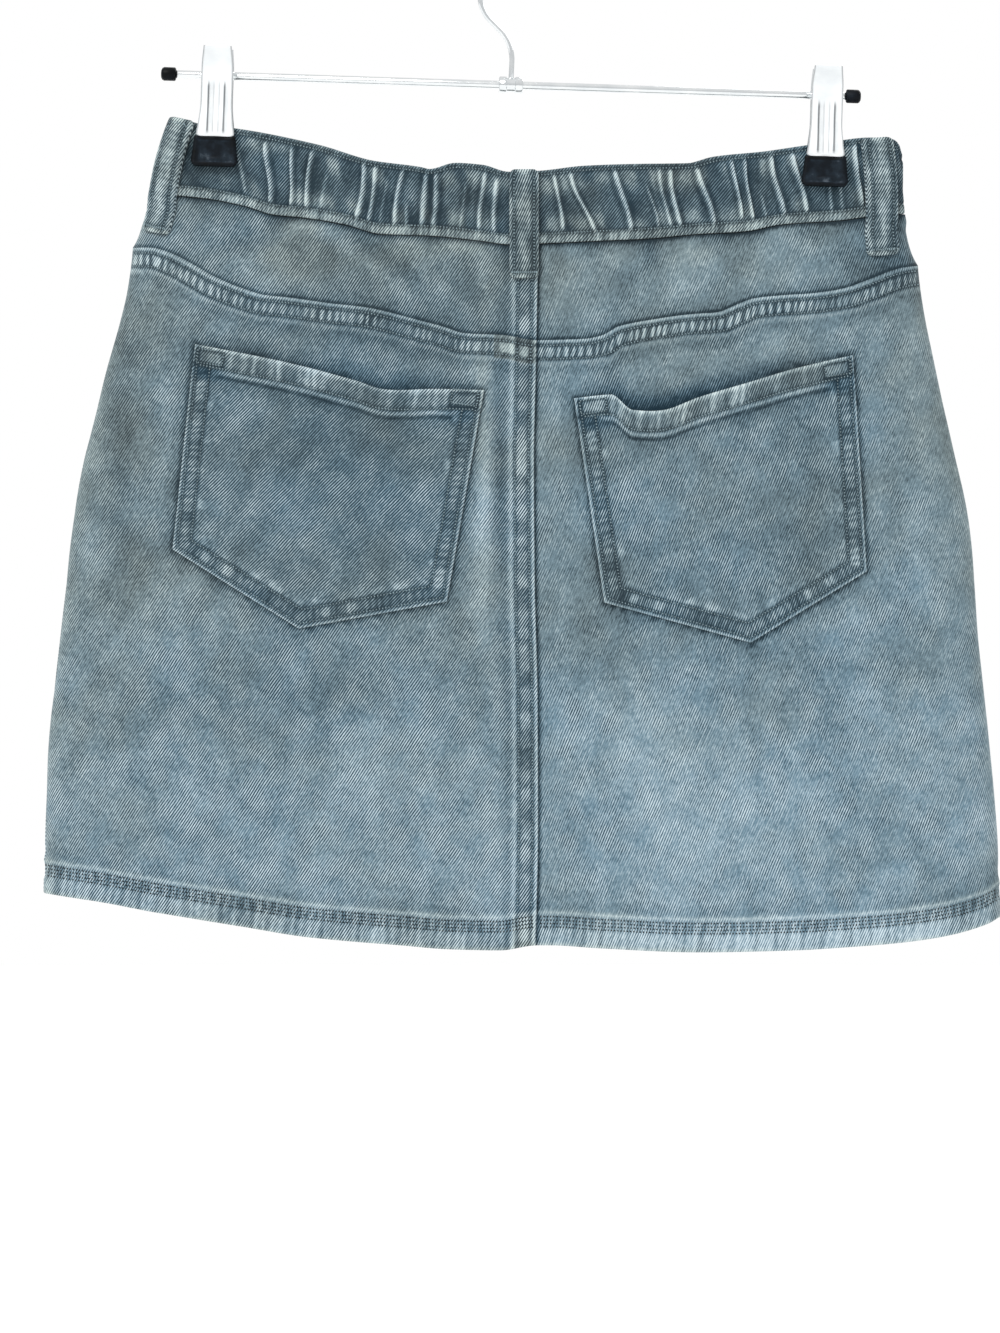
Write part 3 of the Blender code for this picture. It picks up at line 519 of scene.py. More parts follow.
def band_surface(face, x, z):
    """(out, marks) of a waistband's outer face."""
    tone, blue = wash(face, x, z)
    top = seam_distance(face, WAIST, x, z)
    low = -seam_distance(face, BAND_SEAM, x, z)
    rows = bump(top, BAND_TOP_ROW, 0.75) + bump(low, BAND_LOW_ROW, 0.75)
    grooves = bump(top, BAND_TOP_ROW, GROOVE) + bump(low, BAND_LOW_ROW, GROOVE)
    lip = 1 - ease(low, BAND_LOW_ROW + 0.1, BAND_LOW_ROW + 0.9)
    brim = 1 - ease(top, BAND_TOP_ROW + 0.1, BAND_TOP_ROW + 0.9)
    lean = x - BAR_LEAN * low
    pucker = rough(lean, 0 * x, 3.4, 41.0)
    gather = rough(x - 0.15 * z, z, 6.0, 43.0 + face)
    between = (1 - lip) * (1 - brim)
    out = 0.2 * lip * (0.4 + pucker) + 0.15 * brim * pucker - 0.35 * rows
    # The pale lip and brim are worn, and the rows' grooves are painted dark, as shade and unworn indigo
    tone = 0.4 * tone - 0.92 + lip * (0.9 + 0.34 * pucker) + brim * (0.54 + 0.16 * pucker) - 0.76 * grooves
    if face == BACK:
        out = out + 0.25 * gather * between
        patch = ease(rough(x + 0.2 * z, z * 0.4, 7.0, 47.0), -0.35, 0.4)
        ends = bump(top, 7.0, 6.0) + bump(low, 9.0, 5.0)
        # The gathers are paler on their tops and darker in their hollows, as worn and as painted shade; the pale
        # patches are worn
        tone = tone + between * (0.2 * gather + 0.82 * patch * ends)
        blue = blue - 0.4 * between * patch * ends
    else:
        tone = tone + 0.1 * between * gather
    seam = bars(0.2 * lip + 0.14 * brim, lean, low, 2.2)
    crisp = 0.22 * between + 0.2 * lip
    return out, {"tone": tone, "blue": blue + 0.1 - 0.3 * brim - 0.5 * lip, "crisp": crisp, **seam}


def crease_lift(top_x, seam_x, level):
    """(lift, tone) of the pale creases on the line from top_x to seam_x, at a level of the band."""
    x = lerp(top_x, seam_x, level)
    lift = 0 * x
    tone = 0 * x
    for row in CREASES:
        crease = named(CREASE_COLUMNS, row)
        off = x - lerp(crease["top"], crease["seam"], level)
        run = ease(level, crease["start"] - 0.1, crease["start"] + 0.02)
        run = run * (1 - ease(level, crease["stop"] - 0.02, crease["stop"] + 0.06)) * crease["height"]
        ridge = np.exp(-(off / (0.52 + 0.56 * run)) ** 4)
        lift = lift + run * (ridge - 0.35 * bump(np.abs(off), 2.3, 1.1))
        # The crease itself is worn pale; the darker flanks beside it, deeper on its right, are painted shade, and
        # further left it is a little paler
        tone = tone + run * (1.3 * ridge - 0.56 * bump(off, 2.3, 1.1) - 0.4 * bump(off, -2.2, 1.0))
        tone = tone + 0.16 * run * bump(off, -4.2, 2.2)
    return lift, tone


def rounded(edge, thick, radius=None):
    """Half of a wall's thickness at a distance in from an edge that is rounded to a radius."""
    radius = radius or thick / 2
    near = 1 - np.clip(edge / radius, 0.0, 1.0)
    return np.maximum(thick / 2 - radius * (1 - np.sqrt(1 - near**2)), 0.03 * thick)


# Pocket: the two rows inside its sides, and the row along its turned-down mouth
POCKET_ROWS = (2.4, 9.0)
MOUTH_ROW = 9.8
MOUTH_EXTRA = 0.8
POCKET_CRISP = {"left": 0.1, "right": -0.1}      # how much sharper each pocket's twill is
BOX_CENTRE, BOX_HALF = (8.8, 5.3), (6.6, 3.4)   # stitched box in each top corner, from its side and mouth


def pocket_surface(name, x, z):
    """(out, thickness, marks) of a pocket's outer face."""
    spec = POCKETS[name]
    inside, under, along = beside_pocket(name, x, z)
    tone, blue = wash(BACK, x, z)
    (x0, _), (x1, _) = spec["top_left"], spec["top_right"]
    gape = curve(spec["mouth"], (x - x0) / (x1 - x0), 2) * (1 - ease(under, 0.0, 30.0)) ** 2
    turned = 1 - ease(under, MOUTH_ROW + 0.2, MOUTH_ROW + 1.0)
    thick = DENIM_THICK + MOUTH_EXTRA * turned
    edge = np.minimum(inside, under)
    low, high = POCKET_ROWS
    wide = rough(along, 0 * x, 6.0, 61.0)
    spots = ease(rough(along, inside * 0.5, 4.6, 63.0), 0.0, 0.6)
    border = (1 - turned) + turned * (1 - ease(inside, low, low + 3.0))
    rows = border * (bump(inside, low, 0.65) + bump(inside, high, 0.65) * (1 - turned))
    between = (1 - turned) * ease(inside, low + 0.2, low + 1.0) * (1 - ease(inside, high - 1.0, high - 0.2))
    beyond = (1 - turned) * ease(inside, high + 0.5, high + 1.4) * (1 - ease(inside, high + 2.5, high + 6.0))
    folds_down = turned * ease(inside, low, low + 4.0)
    lean = x + BAR_LEAN * under
    ripple = rough(lean, 0 * x, 4.2, 64.0)
    mouth_row = bump(under, MOUTH_ROW, 0.65)
    free = ease(inside, 10.0, 16.0)
    lip = bump(under, MOUTH_ROW + 2.0, 1.1) * free
    tuck = bump(under, MOUTH_ROW + 4.2, 0.9) * free
    box = np.maximum(np.abs(inside - BOX_CENTRE[0]) - BOX_HALF[0], np.abs(under - BOX_CENTRE[1]) - BOX_HALF[1])
    boxed = bump(box, 0.0, 0.6)
    unbleached = bump(inside, 8.0, 7.5) * bump(under, MOUTH_ROW + 3.2, 3.2)
    lift = 0.15 * bump(edge, 0.9, 0.7) - 0.35 * rows + between * (0.1 + 0.3 * wide) + 0.2 * beyond * spots
    lift = lift + folds_down * (0.1 + 0.3 * ripple) - 0.35 * mouth_row + 0.5 * lip - 0.5 * tuck - 0.25 * boxed
    out = PANEL_OUT + folds(BACK, x, z) + GAP + gape + thick + lift
    # The rows' grooves, the mouth row's groove and the stitched boxes' outlines are painted dark, as shade and
    # unworn indigo
    grooves = border * (bump(inside, low, GROOVE) + bump(inside, high, GROOVE) * (1 - turned))
    tone = tone - 0.2 + 0.5 * bump(edge, 0.4, 0.8) - 0.74 * grooves + between * (-0.2 + 0.5 * wide)
    tone = tone + 0.5 * beyond * spots + folds_down * (0.04 + 0.36 * ripple)
    tone = tone - 0.62 * bump(under, MOUTH_ROW, GROOVE)
    # Under the mouth's row the cloth bulges into a lip with painted light on it, then tucks under with a painted
    # shadow line, and a softer painted shade lies below
    tone = tone + 0.34 * turned * bump(under, 1.2, 1.4) + 0.45 * lip - 0.85 * tuck
    tone = tone - 0.16 * bump(under, MOUTH_ROW + 7.0, 3.0) - 0.62 * unbleached
    tone = tone - 1.1 * bump(box, 0.0, 0.9)
    blue = blue + 0.1 + 0.8 * unbleached - 0.2 * folds_down
    crisp = POCKET_CRISP[name] + 0.2 * folds_down + 0.3 * between
    drawn_up = folds_down * (0.17 + 0.12 * ripple) * (1 - ease(-box, -0.6, 0.2))
    seam = merged(bars(0.2 * between, along, inside), bars(drawn_up, lean, under, HEM_BAR_STEP))
    return out, thick, {"tone": tone, "blue": blue, "crisp": crisp, **seam}


def loop_surface(name, x, z):
    """(out, marks) of a belt loop's outer face."""
    spec = named(LOOP_COLUMNS, LOOPS[name])
    face = spec["face"]
    along, beside, length = beside_loop(spec, x, z)
    tone, blue = wash(face, x, z)
    level = level_at(face, across_of(face, x, z), z)
    on_band = 1 - ease(level, 1.0, 1.3)
    crosses_seam = FELL_THICK if name == "back" else 0.2
    under = PANEL_OUT + 0.8 * folds(face, x, z) + crosses_seam
    lift = lerp(under, GATHER_ROOM if face == BACK else 0.0, on_band) + GAP
    lift = lift + LOOP_SLACK * np.sin(np.pi * np.minimum(level, 1.0)) * on_band
    row_at = spec["width"] / 2 - LOOP_ROW
    rows = bump(np.abs(beside), row_at, 0.6)
    edge = np.minimum(spec["width"] / 2 - np.abs(beside), np.minimum(along, length - along))
    ends = bump(length - along, 3.0, 1.2) + 0.5 * bump(along, LOOP_ROW, 0.8)
    streak = rough(beside * 1.6, along * 0.35, 3.2, 71.0)
    out = lift + LOOP_THICK - 0.3 * rows - 0.2 * ends + 0.1 * bump(beside, 0.0, 2.5)
    # The rows' grooves and the rows across the ends are painted dark, as shade and unworn indigo
    grooves = bump(np.abs(beside), row_at, 0.9)
    tone = 0.4 * tone + spec["pale"] - 0.42 + 0.5 * bump(edge, 0.5, 0.9) - 0.7 * grooves - 0.3 * ends + 0.5 * streak
    tab = bump(length - along, 1.3, 1.1) + 0.4 * bump(along, 1.0, 0.8)
    tone = tone + 0.24 * tab + 0.3 * bump(beside, -0.5, 2.4)
    seam = bars(0.12 + 0 * x, along, beside)
    return out, {"tone": tone, "blue": blue - 0.15 - 0.4 * tab, "crisp": 0.4 + 0 * x, **seam}


LOOP_CORNER = 3.0
LOOP_ROW = 2.4            # how far a loop's rows of stitches lie in from its sides
LOOP_SLACK = 0.9
GATHER_ROOM = 0.3


def beside_loop(spec, x, z):
    """(distance down from a loop's top, distance off its middle line, its length)."""
    run_x, run_z = spec["low_x"] - spec["top_x"], spec["low_z"] - spec["top_z"]
    length = math.hypot(run_x, run_z)
    off_x, off_z = x - spec["top_x"], z - spec["top_z"]
    along = (off_x * run_x + off_z * run_z) / length
    return along, (off_z * run_x - off_x * run_z) / length, length


def spaced(start, stop, step):
    """Even places from start to stop, both included, about a step apart."""
    return np.linspace(start, stop, max(2, round(abs(stop - start) / step) + 1))


EDGE_LINES = (0.0, 0.05, 0.16, 0.34, 0.55)       # grid lines that round a folded edge


def seam_lines(reach, step):
    """Grid lines from a folded edge in to `reach`."""
    return np.concatenate([EDGE_LINES, spaced(0.95, reach, step)])


def edge_to_edge(length, step):
    """Grid lines from one folded edge to another."""
    edges = np.array(EDGE_LINES)
    return np.concatenate([edges, spaced(0.95, length - 0.95, step), length - edges[::-1]])


def srgb(code, alpha=1.0):
    """An sRGB hex colour as linear values."""
    parts = [int(code[i:i + 2], 16) / 255 for i in (1, 3, 5)]
    return (*(p / 12.92 if p <= 0.04045 else ((p + 0.055) / 1.055) ** 2.4 for p in parts), alpha)


class SkortSettings(bpy.types.PropertyGroup):
    """Sizes and colours of the skort that a user would change."""

    stitch_pitch: FloatProperty(
        name="Stitch length", description="From one needle hole to the next",
        default=0.0016, min=0.0015, max=0.006, subtype="DISTANCE", unit="LENGTH",
    )
    thread_width: FloatProperty(
        name="Thread width", description="Thickness of the sewing thread",
        default=0.00085, min=0.0002, max=0.0015, subtype="DISTANCE", unit="LENGTH",
    )
    twill_spacing: FloatProperty(
        name="Twill spacing", description="Distance between the denim's diagonal lines",
        default=0.00117, min=0.0005, max=0.004, subtype="DISTANCE", unit="LENGTH",
    )
    gather: FloatProperty(
        name="Gathers", description="Height of the waistband's creases, as a share of their own",
        default=1.0, min=0.0, max=1.5, subtype="FACTOR",
    )
    denim_dark: FloatVectorProperty(
        name="Unworn denim", description="Colour where the indigo is left in the cloth",
        default=srgb("#17303d")[:3], min=0.0, max=1.0, size=3, subtype="COLOR",
    )
    denim_mid: FloatVectorProperty(
        name="Washed denim", description="Colour of the cloth away from its seams",
        default=srgb("#6b8695")[:3], min=0.0, max=1.0, size=3, subtype="COLOR",
    )
    denim_pale: FloatVectorProperty(
        name="Bleached denim", description="Colour along worn ridges and folds",
        default=srgb("#c9d8df")[:3], min=0.0, max=1.0, size=3, subtype="COLOR",
    )
    thread: FloatVectorProperty(
        name="Thread", description="Colour of the sewing thread",
        default=srgb("#76898f")[:3], min=0.0, max=1.0, size=3, subtype="COLOR",
    )
    knit: FloatVectorProperty(
        name="Knit", description="Colour of the shorts inside",
        default=srgb("#647782")[:3], min=0.0, max=1.0, size=3, subtype="COLOR",
    )
    floor_height: FloatProperty(
        name="Floor", description="Height of the floor under the inside top of the hook",
        default=-1.2, max=-0.6, subtype="DISTANCE", unit="LENGTH",
    )


def settings():
    return bpy.context.scene.skort


def add(tree, kind, inputs=None, stops=None, **values):
    """Adds a node. `inputs` holds its sockets' values, or the sockets they are linked from, and
    `stops` a ramp's places and colours."""
    node = tree.nodes.new(kind)
    for key, value in values.items():
        setattr(node, key, value)
    for key, value in (inputs or {}).items():
        if isinstance(value, bpy.types.NodeSocket):
            tree.links.new(value, node.inputs[key])
        else:
            node.inputs[key].default_value = value
    for i, (place, colour) in enumerate(stops or ()):
        element = node.color_ramp.elements[i] if i < 2 else node.color_ramp.elements.new(place)
        element.position = place
        element.color = (*colour[:3], 1.0)
    return node


def new_material(name):
    """(material, tree, shader) of a material that has nothing but its shader."""
    made = bpy.data.materials.new(name)
    made.use_nodes = True
    return made, made.node_tree, made.node_tree.nodes["Principled BSDF"]


def material(name):
    return bpy.data.materials.get(name) or FINISHES[name](name)


DENIM_TWILL = "bleached stretch denim twill"
THREAD = "twisted polyester-cotton thread"
KNIT = "cotton jersey"
CHROME = "chrome-plated steel"
RUBBER = "moulded black rubber"
FLOOR = "matt painted floor"


def scaled(colour, share):
    return tuple(part * share for part in colour)


def greyed(colour):
    """A colour as the wash turns it where it takes the blue out."""
    grey = sum(colour) / 3
    return tuple(lerp(part, grey * tint, 0.55) for part, tint in zip(colour, (0.93, 1.05, 0.93)))


def denim_twill(name):
    """Cotton-elastane twill, bleached after sewing. The blue warp lies over the pale weft in fine
    diagonals, its yarns are uneven, and the wash leaves soft clouds, so it looks pale, matt and dry."""
    made, tree, shader = new_material(name)
    look = settings()
    tone = add(tree, "ShaderNodeAttribute", attribute_name="tone").outputs["Fac"]
    blue = add(tree, "ShaderNodeAttribute", attribute_name="blue").outputs["Fac"]
    total = add(tree, "ShaderNodeMath", {0: tone, 1: 0.5, 2: 0.37}, operation="MULTIPLY_ADD").outputs[0]
    flat = add(tree, "ShaderNodeUVMap").outputs["UV"]
    dashes = add(tree, "ShaderNodeMapping", {"Vector": flat, "Scale": (1 / 0.0026, 1 / 0.0012, 1.0)})
    dash = add(tree, "ShaderNodeTexNoise", {"Vector": dashes.outputs[0], "Scale": 1.0, "Detail": 1.0})
    blotch = add(tree, "ShaderNodeTexNoise", {"Vector": flat, "Scale": 1 / 0.011, "Detail": 4.0})
    cloud = add(tree, "ShaderNodeTexNoise", {"Vector": flat, "Scale": 1 / 0.045, "Detail": 2.0})
    # Real diagonals are about 1.1 mm apart. These are drawn a little coarser, so that they show.
    twill = add(
        tree, "ShaderNodeTexWave",
        {"Vector": flat, "Scale": 0.31416 / look.twill_spacing, "Distortion": 3.0, "Detail": 0.0,
         "Detail Scale": 0.2},
        bands_direction="Y",
    )
    # Between two rows of stitches the seam draws the cloth up into small bars across it
    along = add(tree, "ShaderNodeAttribute", attribute_name="along").outputs["Fac"]
    across = add(tree, "ShaderNodeAttribute", attribute_name="across").outputs["Fac"]
    strength = add(tree, "ShaderNodeAttribute", attribute_name="pucker").outputs["Fac"]
    seam = add(tree, "ShaderNodeCombineXYZ", {"X": along, "Y": across})
    ladder = add(
        tree, "ShaderNodeTexWave",
        {"Vector": seam.outputs[0], "Scale": 0.31416, "Distortion": 7.0, "Detail": 2.0, "Detail Scale": 1.4},
        bands_direction="X",
    )
    ladder = add(
        tree, "ShaderNodeMapRange",
        {"Value": ladder.outputs["Fac"], "From Min": 0.1, "From Max": 0.9, "To Min": -0.5, "To Max": 0.5},
    ).outputs[0]
    total = add(tree, "ShaderNodeMath", {0: ladder, 1: strength, 2: total}, operation="MULTIPLY_ADD").outputs[0]
    # Where the wash took the blue out, the diagonals are fainter
    shift = add(
        tree, "ShaderNodeMath", {0: cloud.outputs["Fac"], 1: 1.6, 2: -0.6}, operation="MULTIPLY_ADD",
    )
    share = add(tree, "ShaderNodeMath", {0: blue, 1: shift.outputs[0]}, operation="ADD", use_clamp=True)
    crisp = add(tree, "ShaderNodeAttribute", attribute_name="crisp").outputs["Fac"]
    # and everywhere they come and go in patches, as the cloth was rubbed
    rubbed = add(tree, "ShaderNodeTexNoise", {"Vector": flat, "Scale": 1 / 0.013, "Detail": 2.0})
    rubbed = add(
        tree, "ShaderNodeMapRange",
        {"Value": rubbed.outputs["Fac"], "From Min": 0.32, "From Max": 0.68, "To Min": 0.5, "To Max": 1.35},
    )
    depth = add(tree, "ShaderNodeMath", {0: share.outputs[0], 1: 0.4, 2: 0.45}, operation="MULTIPLY_ADD")
    depth = add(
        tree, "ShaderNodeMath", {0: depth.outputs[0], 1: rubbed.outputs[0], 2: crisp}, operation="MULTIPLY_ADD",
    ).outputs[0]
    for source, amount in ((dash, 0.58), (blotch, 0.4), (cloud, 0.2), (twill, depth)):
        centred = add(
            tree, "ShaderNodeMath", {0: source.outputs["Fac"], 1: 0.5}, operation="SUBTRACT",
        ).outputs[0]
        total = add(
            tree, "ShaderNodeMath", {0: centred, 1: amount, 2: total}, operation="MULTIPLY_ADD",
        ).outputs[0]
    yarn_stops = ((0.0, look.denim_dark), (0.46, look.denim_mid), (1.0, look.denim_pale))
    blue_ramp = add(tree, "ShaderNodeValToRGB", {"Fac": total}, yarn_stops)
    grey_ramp = add(
        tree, "ShaderNodeValToRGB", {"Fac": total}, [(at, greyed(colour)) for at, colour in yarn_stops],
    )
    colour = add(
        tree, "ShaderNodeMix",
        {0: share.outputs[0], 6: grey_ramp.outputs[0], 7: blue_ramp.outputs[0]}, data_type="RGBA",
    )
    height = add(
        tree, "ShaderNodeMath", {0: ladder, 1: strength, 2: twill.outputs["Fac"]}, operation="MULTIPLY_ADD",
    )
    relief = add(
        tree, "ShaderNodeBump",
        {"Height": height.outputs[0], "Strength": 0.5, "Distance": 0.00015},
    )
    tree.links.new(colour.outputs[2], shader.inputs["Base Color"])
    tree.links.new(relief.outputs[0], shader.inputs["Normal"])
    shader.inputs["Roughness"].default_value = 0.92
    shader.inputs["Specular IOR Level"].default_value = 0.2
    shader.inputs["Sheen Weight"].default_value = 0.1
    shader.inputs["Sheen Roughness"].default_value = 0.6
    return made


def twisted_thread(name):
    """Two-ply sewing thread, washed as pale as the cloth. It shines a little where it lies on the
    denim, and is painted darker as shade where it dives into its needle holes."""
    made, tree, shader = new_material(name)
    dyed = tuple(settings().thread)
    tone = add(tree, "ShaderNodeAttribute", attribute_name="tone").outputs["Fac"]
    place = add(tree, "ShaderNodeTexCoord").outputs["Object"]
    fray = add(tree, "ShaderNodeTexNoise", {"Vector": place, "Scale": 1 / 0.006, "Detail": 2.0})
    total = add(
        tree, "ShaderNodeMath", {0: fray.outputs["Fac"], 1: 0.7, 2: tone}, operation="MULTIPLY_ADD",
    )
    colour = add(
        tree, "ShaderNodeValToRGB", {"Fac": total.outputs[0]},
        [(0.2, scaled(dyed, 0.06)), (0.75, dyed), (1.0, scaled(dyed, 1.6))],
    )
    tree.links.new(colour.outputs[0], shader.inputs["Base Color"])
    ply = add(
        tree, "ShaderNodeTexWave",
        {"Vector": place, "Scale": 0.31416 / 0.0005, "Distortion": 0.5}, bands_direction="DIAGONAL",
    )
    relief = add(
        tree, "ShaderNodeBump",
        {"Height": ply.outputs["Fac"], "Strength": 0.4, "Distance": 0.00008},
    )
    tree.links.new(relief.outputs[0], shader.inputs["Normal"])
    shader.inputs["Roughness"].default_value = 0.6
    return made


def cotton_jersey(name):
    """Plain weft-knitted cotton for the shorts. Its wales run down in fine soft ribs."""
    made, tree, shader = new_material(name)
    dyed = tuple(settings().knit)
    flat = add(tree, "ShaderNodeUVMap").outputs["UV"]
    # Real wales are about 0.7 mm apart. These are twice that, so that they show.
    wales = add(
        tree, "ShaderNodeTexWave",
        {"Vector": flat, "Scale": 0.31416 / 0.0014, "Distortion": 0.8}, bands_direction="X",
    )
    loops = add(
        tree, "ShaderNodeTexWave",
        {"Vector": flat, "Scale": 0.31416 / 0.0011, "Distortion": 1.0}, bands_direction="Y",
    )
    heather = add(tree, "ShaderNodeTexNoise", {"Vector": flat, "Scale": 1 / 0.003, "Detail": 3.0})
    knit = add(
        tree, "ShaderNodeMath", {0: wales.outputs["Fac"], 1: loops.outputs["Fac"]},
        operation="MULTIPLY",
    )
    total = add(
        tree, "ShaderNodeMath", {0: heather.outputs["Fac"], 1: knit.outputs[0]}, operation="ADD",
    )
    colour = add(
        tree, "ShaderNodeValToRGB", {"Fac": total.outputs[0]},
        [(0.3, scaled(dyed, 0.62)), (1.0, scaled(dyed, 1.35))],
    )
    tree.links.new(colour.outputs[0], shader.inputs["Base Color"])
    relief = add(
        tree, "ShaderNodeBump",
        {"Height": knit.outputs[0], "Strength": 0.5, "Distance": 0.00015},
    )
    tree.links.new(relief.outputs[0], shader.inputs["Normal"])
    shader.inputs["Roughness"].default_value = 0.9
    shader.inputs["Sheen Weight"].default_value = 0.25
    return made


def chrome_plated_steel(name):
    """Steel under bright chrome: on drawn wire a cool mirror with faint smears, and on pressed plate,
    which isn't polished, a satin that looks nearly white, with painted shade in its grooves and along its sides."""
    made, tree, shader = new_material(name)
    place = add(tree, "ShaderNodeTexCoord").outputs["Object"]
    smear = add(
        tree, "ShaderNodeTexNoise", {"Vector": place, "Scale": 1 / 0.012, "Detail": 4.0},
    )
    satin = add(tree, "ShaderNodeAttribute", attribute_name="satin").outputs["Fac"]
    mirror = add(
        tree, "ShaderNodeMapRange", {"Value": smear.outputs["Fac"], "To Min": 0.08, "To Max": 0.26},
    )
    gloss = add(
        tree, "ShaderNodeMath", {0: satin, 1: 0.35, 2: mirror.outputs[0]}, operation="MULTIPLY_ADD",
    )
    metal = add(tree, "ShaderNodeMath", {0: satin, 1: -0.75, 2: 1.0}, operation="MULTIPLY_ADD")
    clean = add(
        tree, "ShaderNodeValToRGB", {"Fac": smear.outputs["Fac"]},
        [(0.25, srgb("#e4e8ea")), (0.7, srgb("#f6f8f8"))],
    )
    # Painted shade in the plate's grooves and along its sides
    painted_shade = add(tree, "ShaderNodeAttribute", attribute_name="painted_shade").outputs["Fac"]
    colour = add(
        tree, "ShaderNodeMix", {0: painted_shade, 6: clean.outputs[0], 7: srgb("#3a4046")}, data_type="RGBA",
    )
    grain = add(tree, "ShaderNodeTexNoise", {"Vector": place, "Scale": 1 / 0.0009, "Detail": 2.0})
    relief = add(
        tree, "ShaderNodeBump",
        {"Height": grain.outputs["Fac"], "Strength": 0.03, "Distance": 0.00002},
    )
    tree.links.new(colour.outputs[2], shader.inputs["Base Color"])
    tree.links.new(gloss.outputs[0], shader.inputs["Roughness"])
    tree.links.new(relief.outputs[0], shader.inputs["Normal"])
    tree.links.new(metal.outputs[0], shader.inputs["Metallic"])
    return made


def moulded_rubber(name):
    """Black rubber with a fine moulded grain, a soft shine and a little pale dust in it. Its worn mark
    also holds a painted highlight along the rim's inner step and painted shade in the notches.
    """
    made, tree, shader = new_material(name)
    place = add(tree, "ShaderNodeTexCoord").outputs["Object"]
    grain = add(tree, "ShaderNodeTexNoise", {"Vector": place, "Scale": 1 / 0.0007, "Detail": 3.0})
    dust = add(tree, "ShaderNodeTexNoise", {"Vector": place, "Scale": 1 / 0.006, "Detail": 4.0})
    # Dust and wear, with a painted highlight along the rim's inner step and painted shade in the notches
    worn = add(tree, "ShaderNodeAttribute", attribute_name="worn").outputs["Fac"]
    dusty = add(
        tree, "ShaderNodeMath", {0: worn, 1: 0.3, 2: dust.outputs["Fac"]}, operation="MULTIPLY_ADD",
    )
    colour = add(
        tree, "ShaderNodeValToRGB", {"Fac": dusty.outputs[0]},
        [(0.35, srgb("#030608")), (0.62, srgb("#0b1219")), (0.8, srgb("#1c262f")), (1.0, srgb("#59626b"))],
    )
    gloss = add(
        tree, "ShaderNodeMapRange", {"Value": dust.outputs["Fac"], "To Min": 0.38, "To Max": 0.62},
    )
    relief = add(
        tree, "ShaderNodeBump",
        {"Height": grain.outputs["Fac"], "Strength": 0.35, "Distance": 0.00008},
    )
    tree.links.new(colour.outputs[0], shader.inputs["Base Color"])
    tree.links.new(gloss.outputs[0], shader.inputs["Roughness"])
    tree.links.new(relief.outputs[0], shader.inputs["Normal"])
    shader.inputs["Specular IOR Level"].default_value = 0.12
    return made


def painted_floor(name):
    """Screed under matt white paint, rolled on: pale, dull and very slightly uneven."""
    made, tree, shader = new_material(name)
    place = add(tree, "ShaderNodeTexCoord").outputs["Object"]
    uneven = add(tree, "ShaderNodeTexNoise", {"Vector": place, "Scale": 1 / 0.6, "Detail": 2.0})
    colour = add(
        tree, "ShaderNodeValToRGB", {"Fac": uneven.outputs["Fac"]},
        [(0.3, srgb("#eeefef")), (0.7, srgb("#f2f2f2"))],
    )
    tree.links.new(colour.outputs[0], shader.inputs["Base Color"])
    shader.inputs["Roughness"].default_value = 0.9
    shader.inputs["Specular IOR Level"].default_value = 0.1
    return made


FINISHES = {
    DENIM_TWILL: denim_twill,
    THREAD: twisted_thread,
    KNIT: cotton_jersey,
    CHROME: chrome_plated_steel,
    RUBBER: moulded_rubber,
    FLOOR: painted_floor,
}


def show(name, mesh, finish, replaces=None):
    """Puts a mesh into the scene as a piece of the object, in place of a solid of the frame."""
    mesh.materials.clear()
    mesh.materials.append(material(finish))
    obj = bpy.data.objects.new(name, mesh)
    bpy.context.scene.collection.objects.link(obj)
    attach(obj, "root")
    if replaces:
        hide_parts(replaces)
    return obj


def signed_volume(mesh):
    mesh.calc_loop_triangles()
    corners = np.empty(len(mesh.loop_triangles) * 3, np.int32)
    mesh.loop_triangles.foreach_get("vertices", corners)
    places = np.empty(len(mesh.vertices) * 3, np.float32)
    mesh.vertices.foreach_get("co", places)
    a, b, c = places.reshape(-1, 3).astype(float)[corners.reshape(-1, 3)].transpose(1, 0, 2)
    return float(np.einsum("ij,ij->", a, np.cross(b, c))) / 6


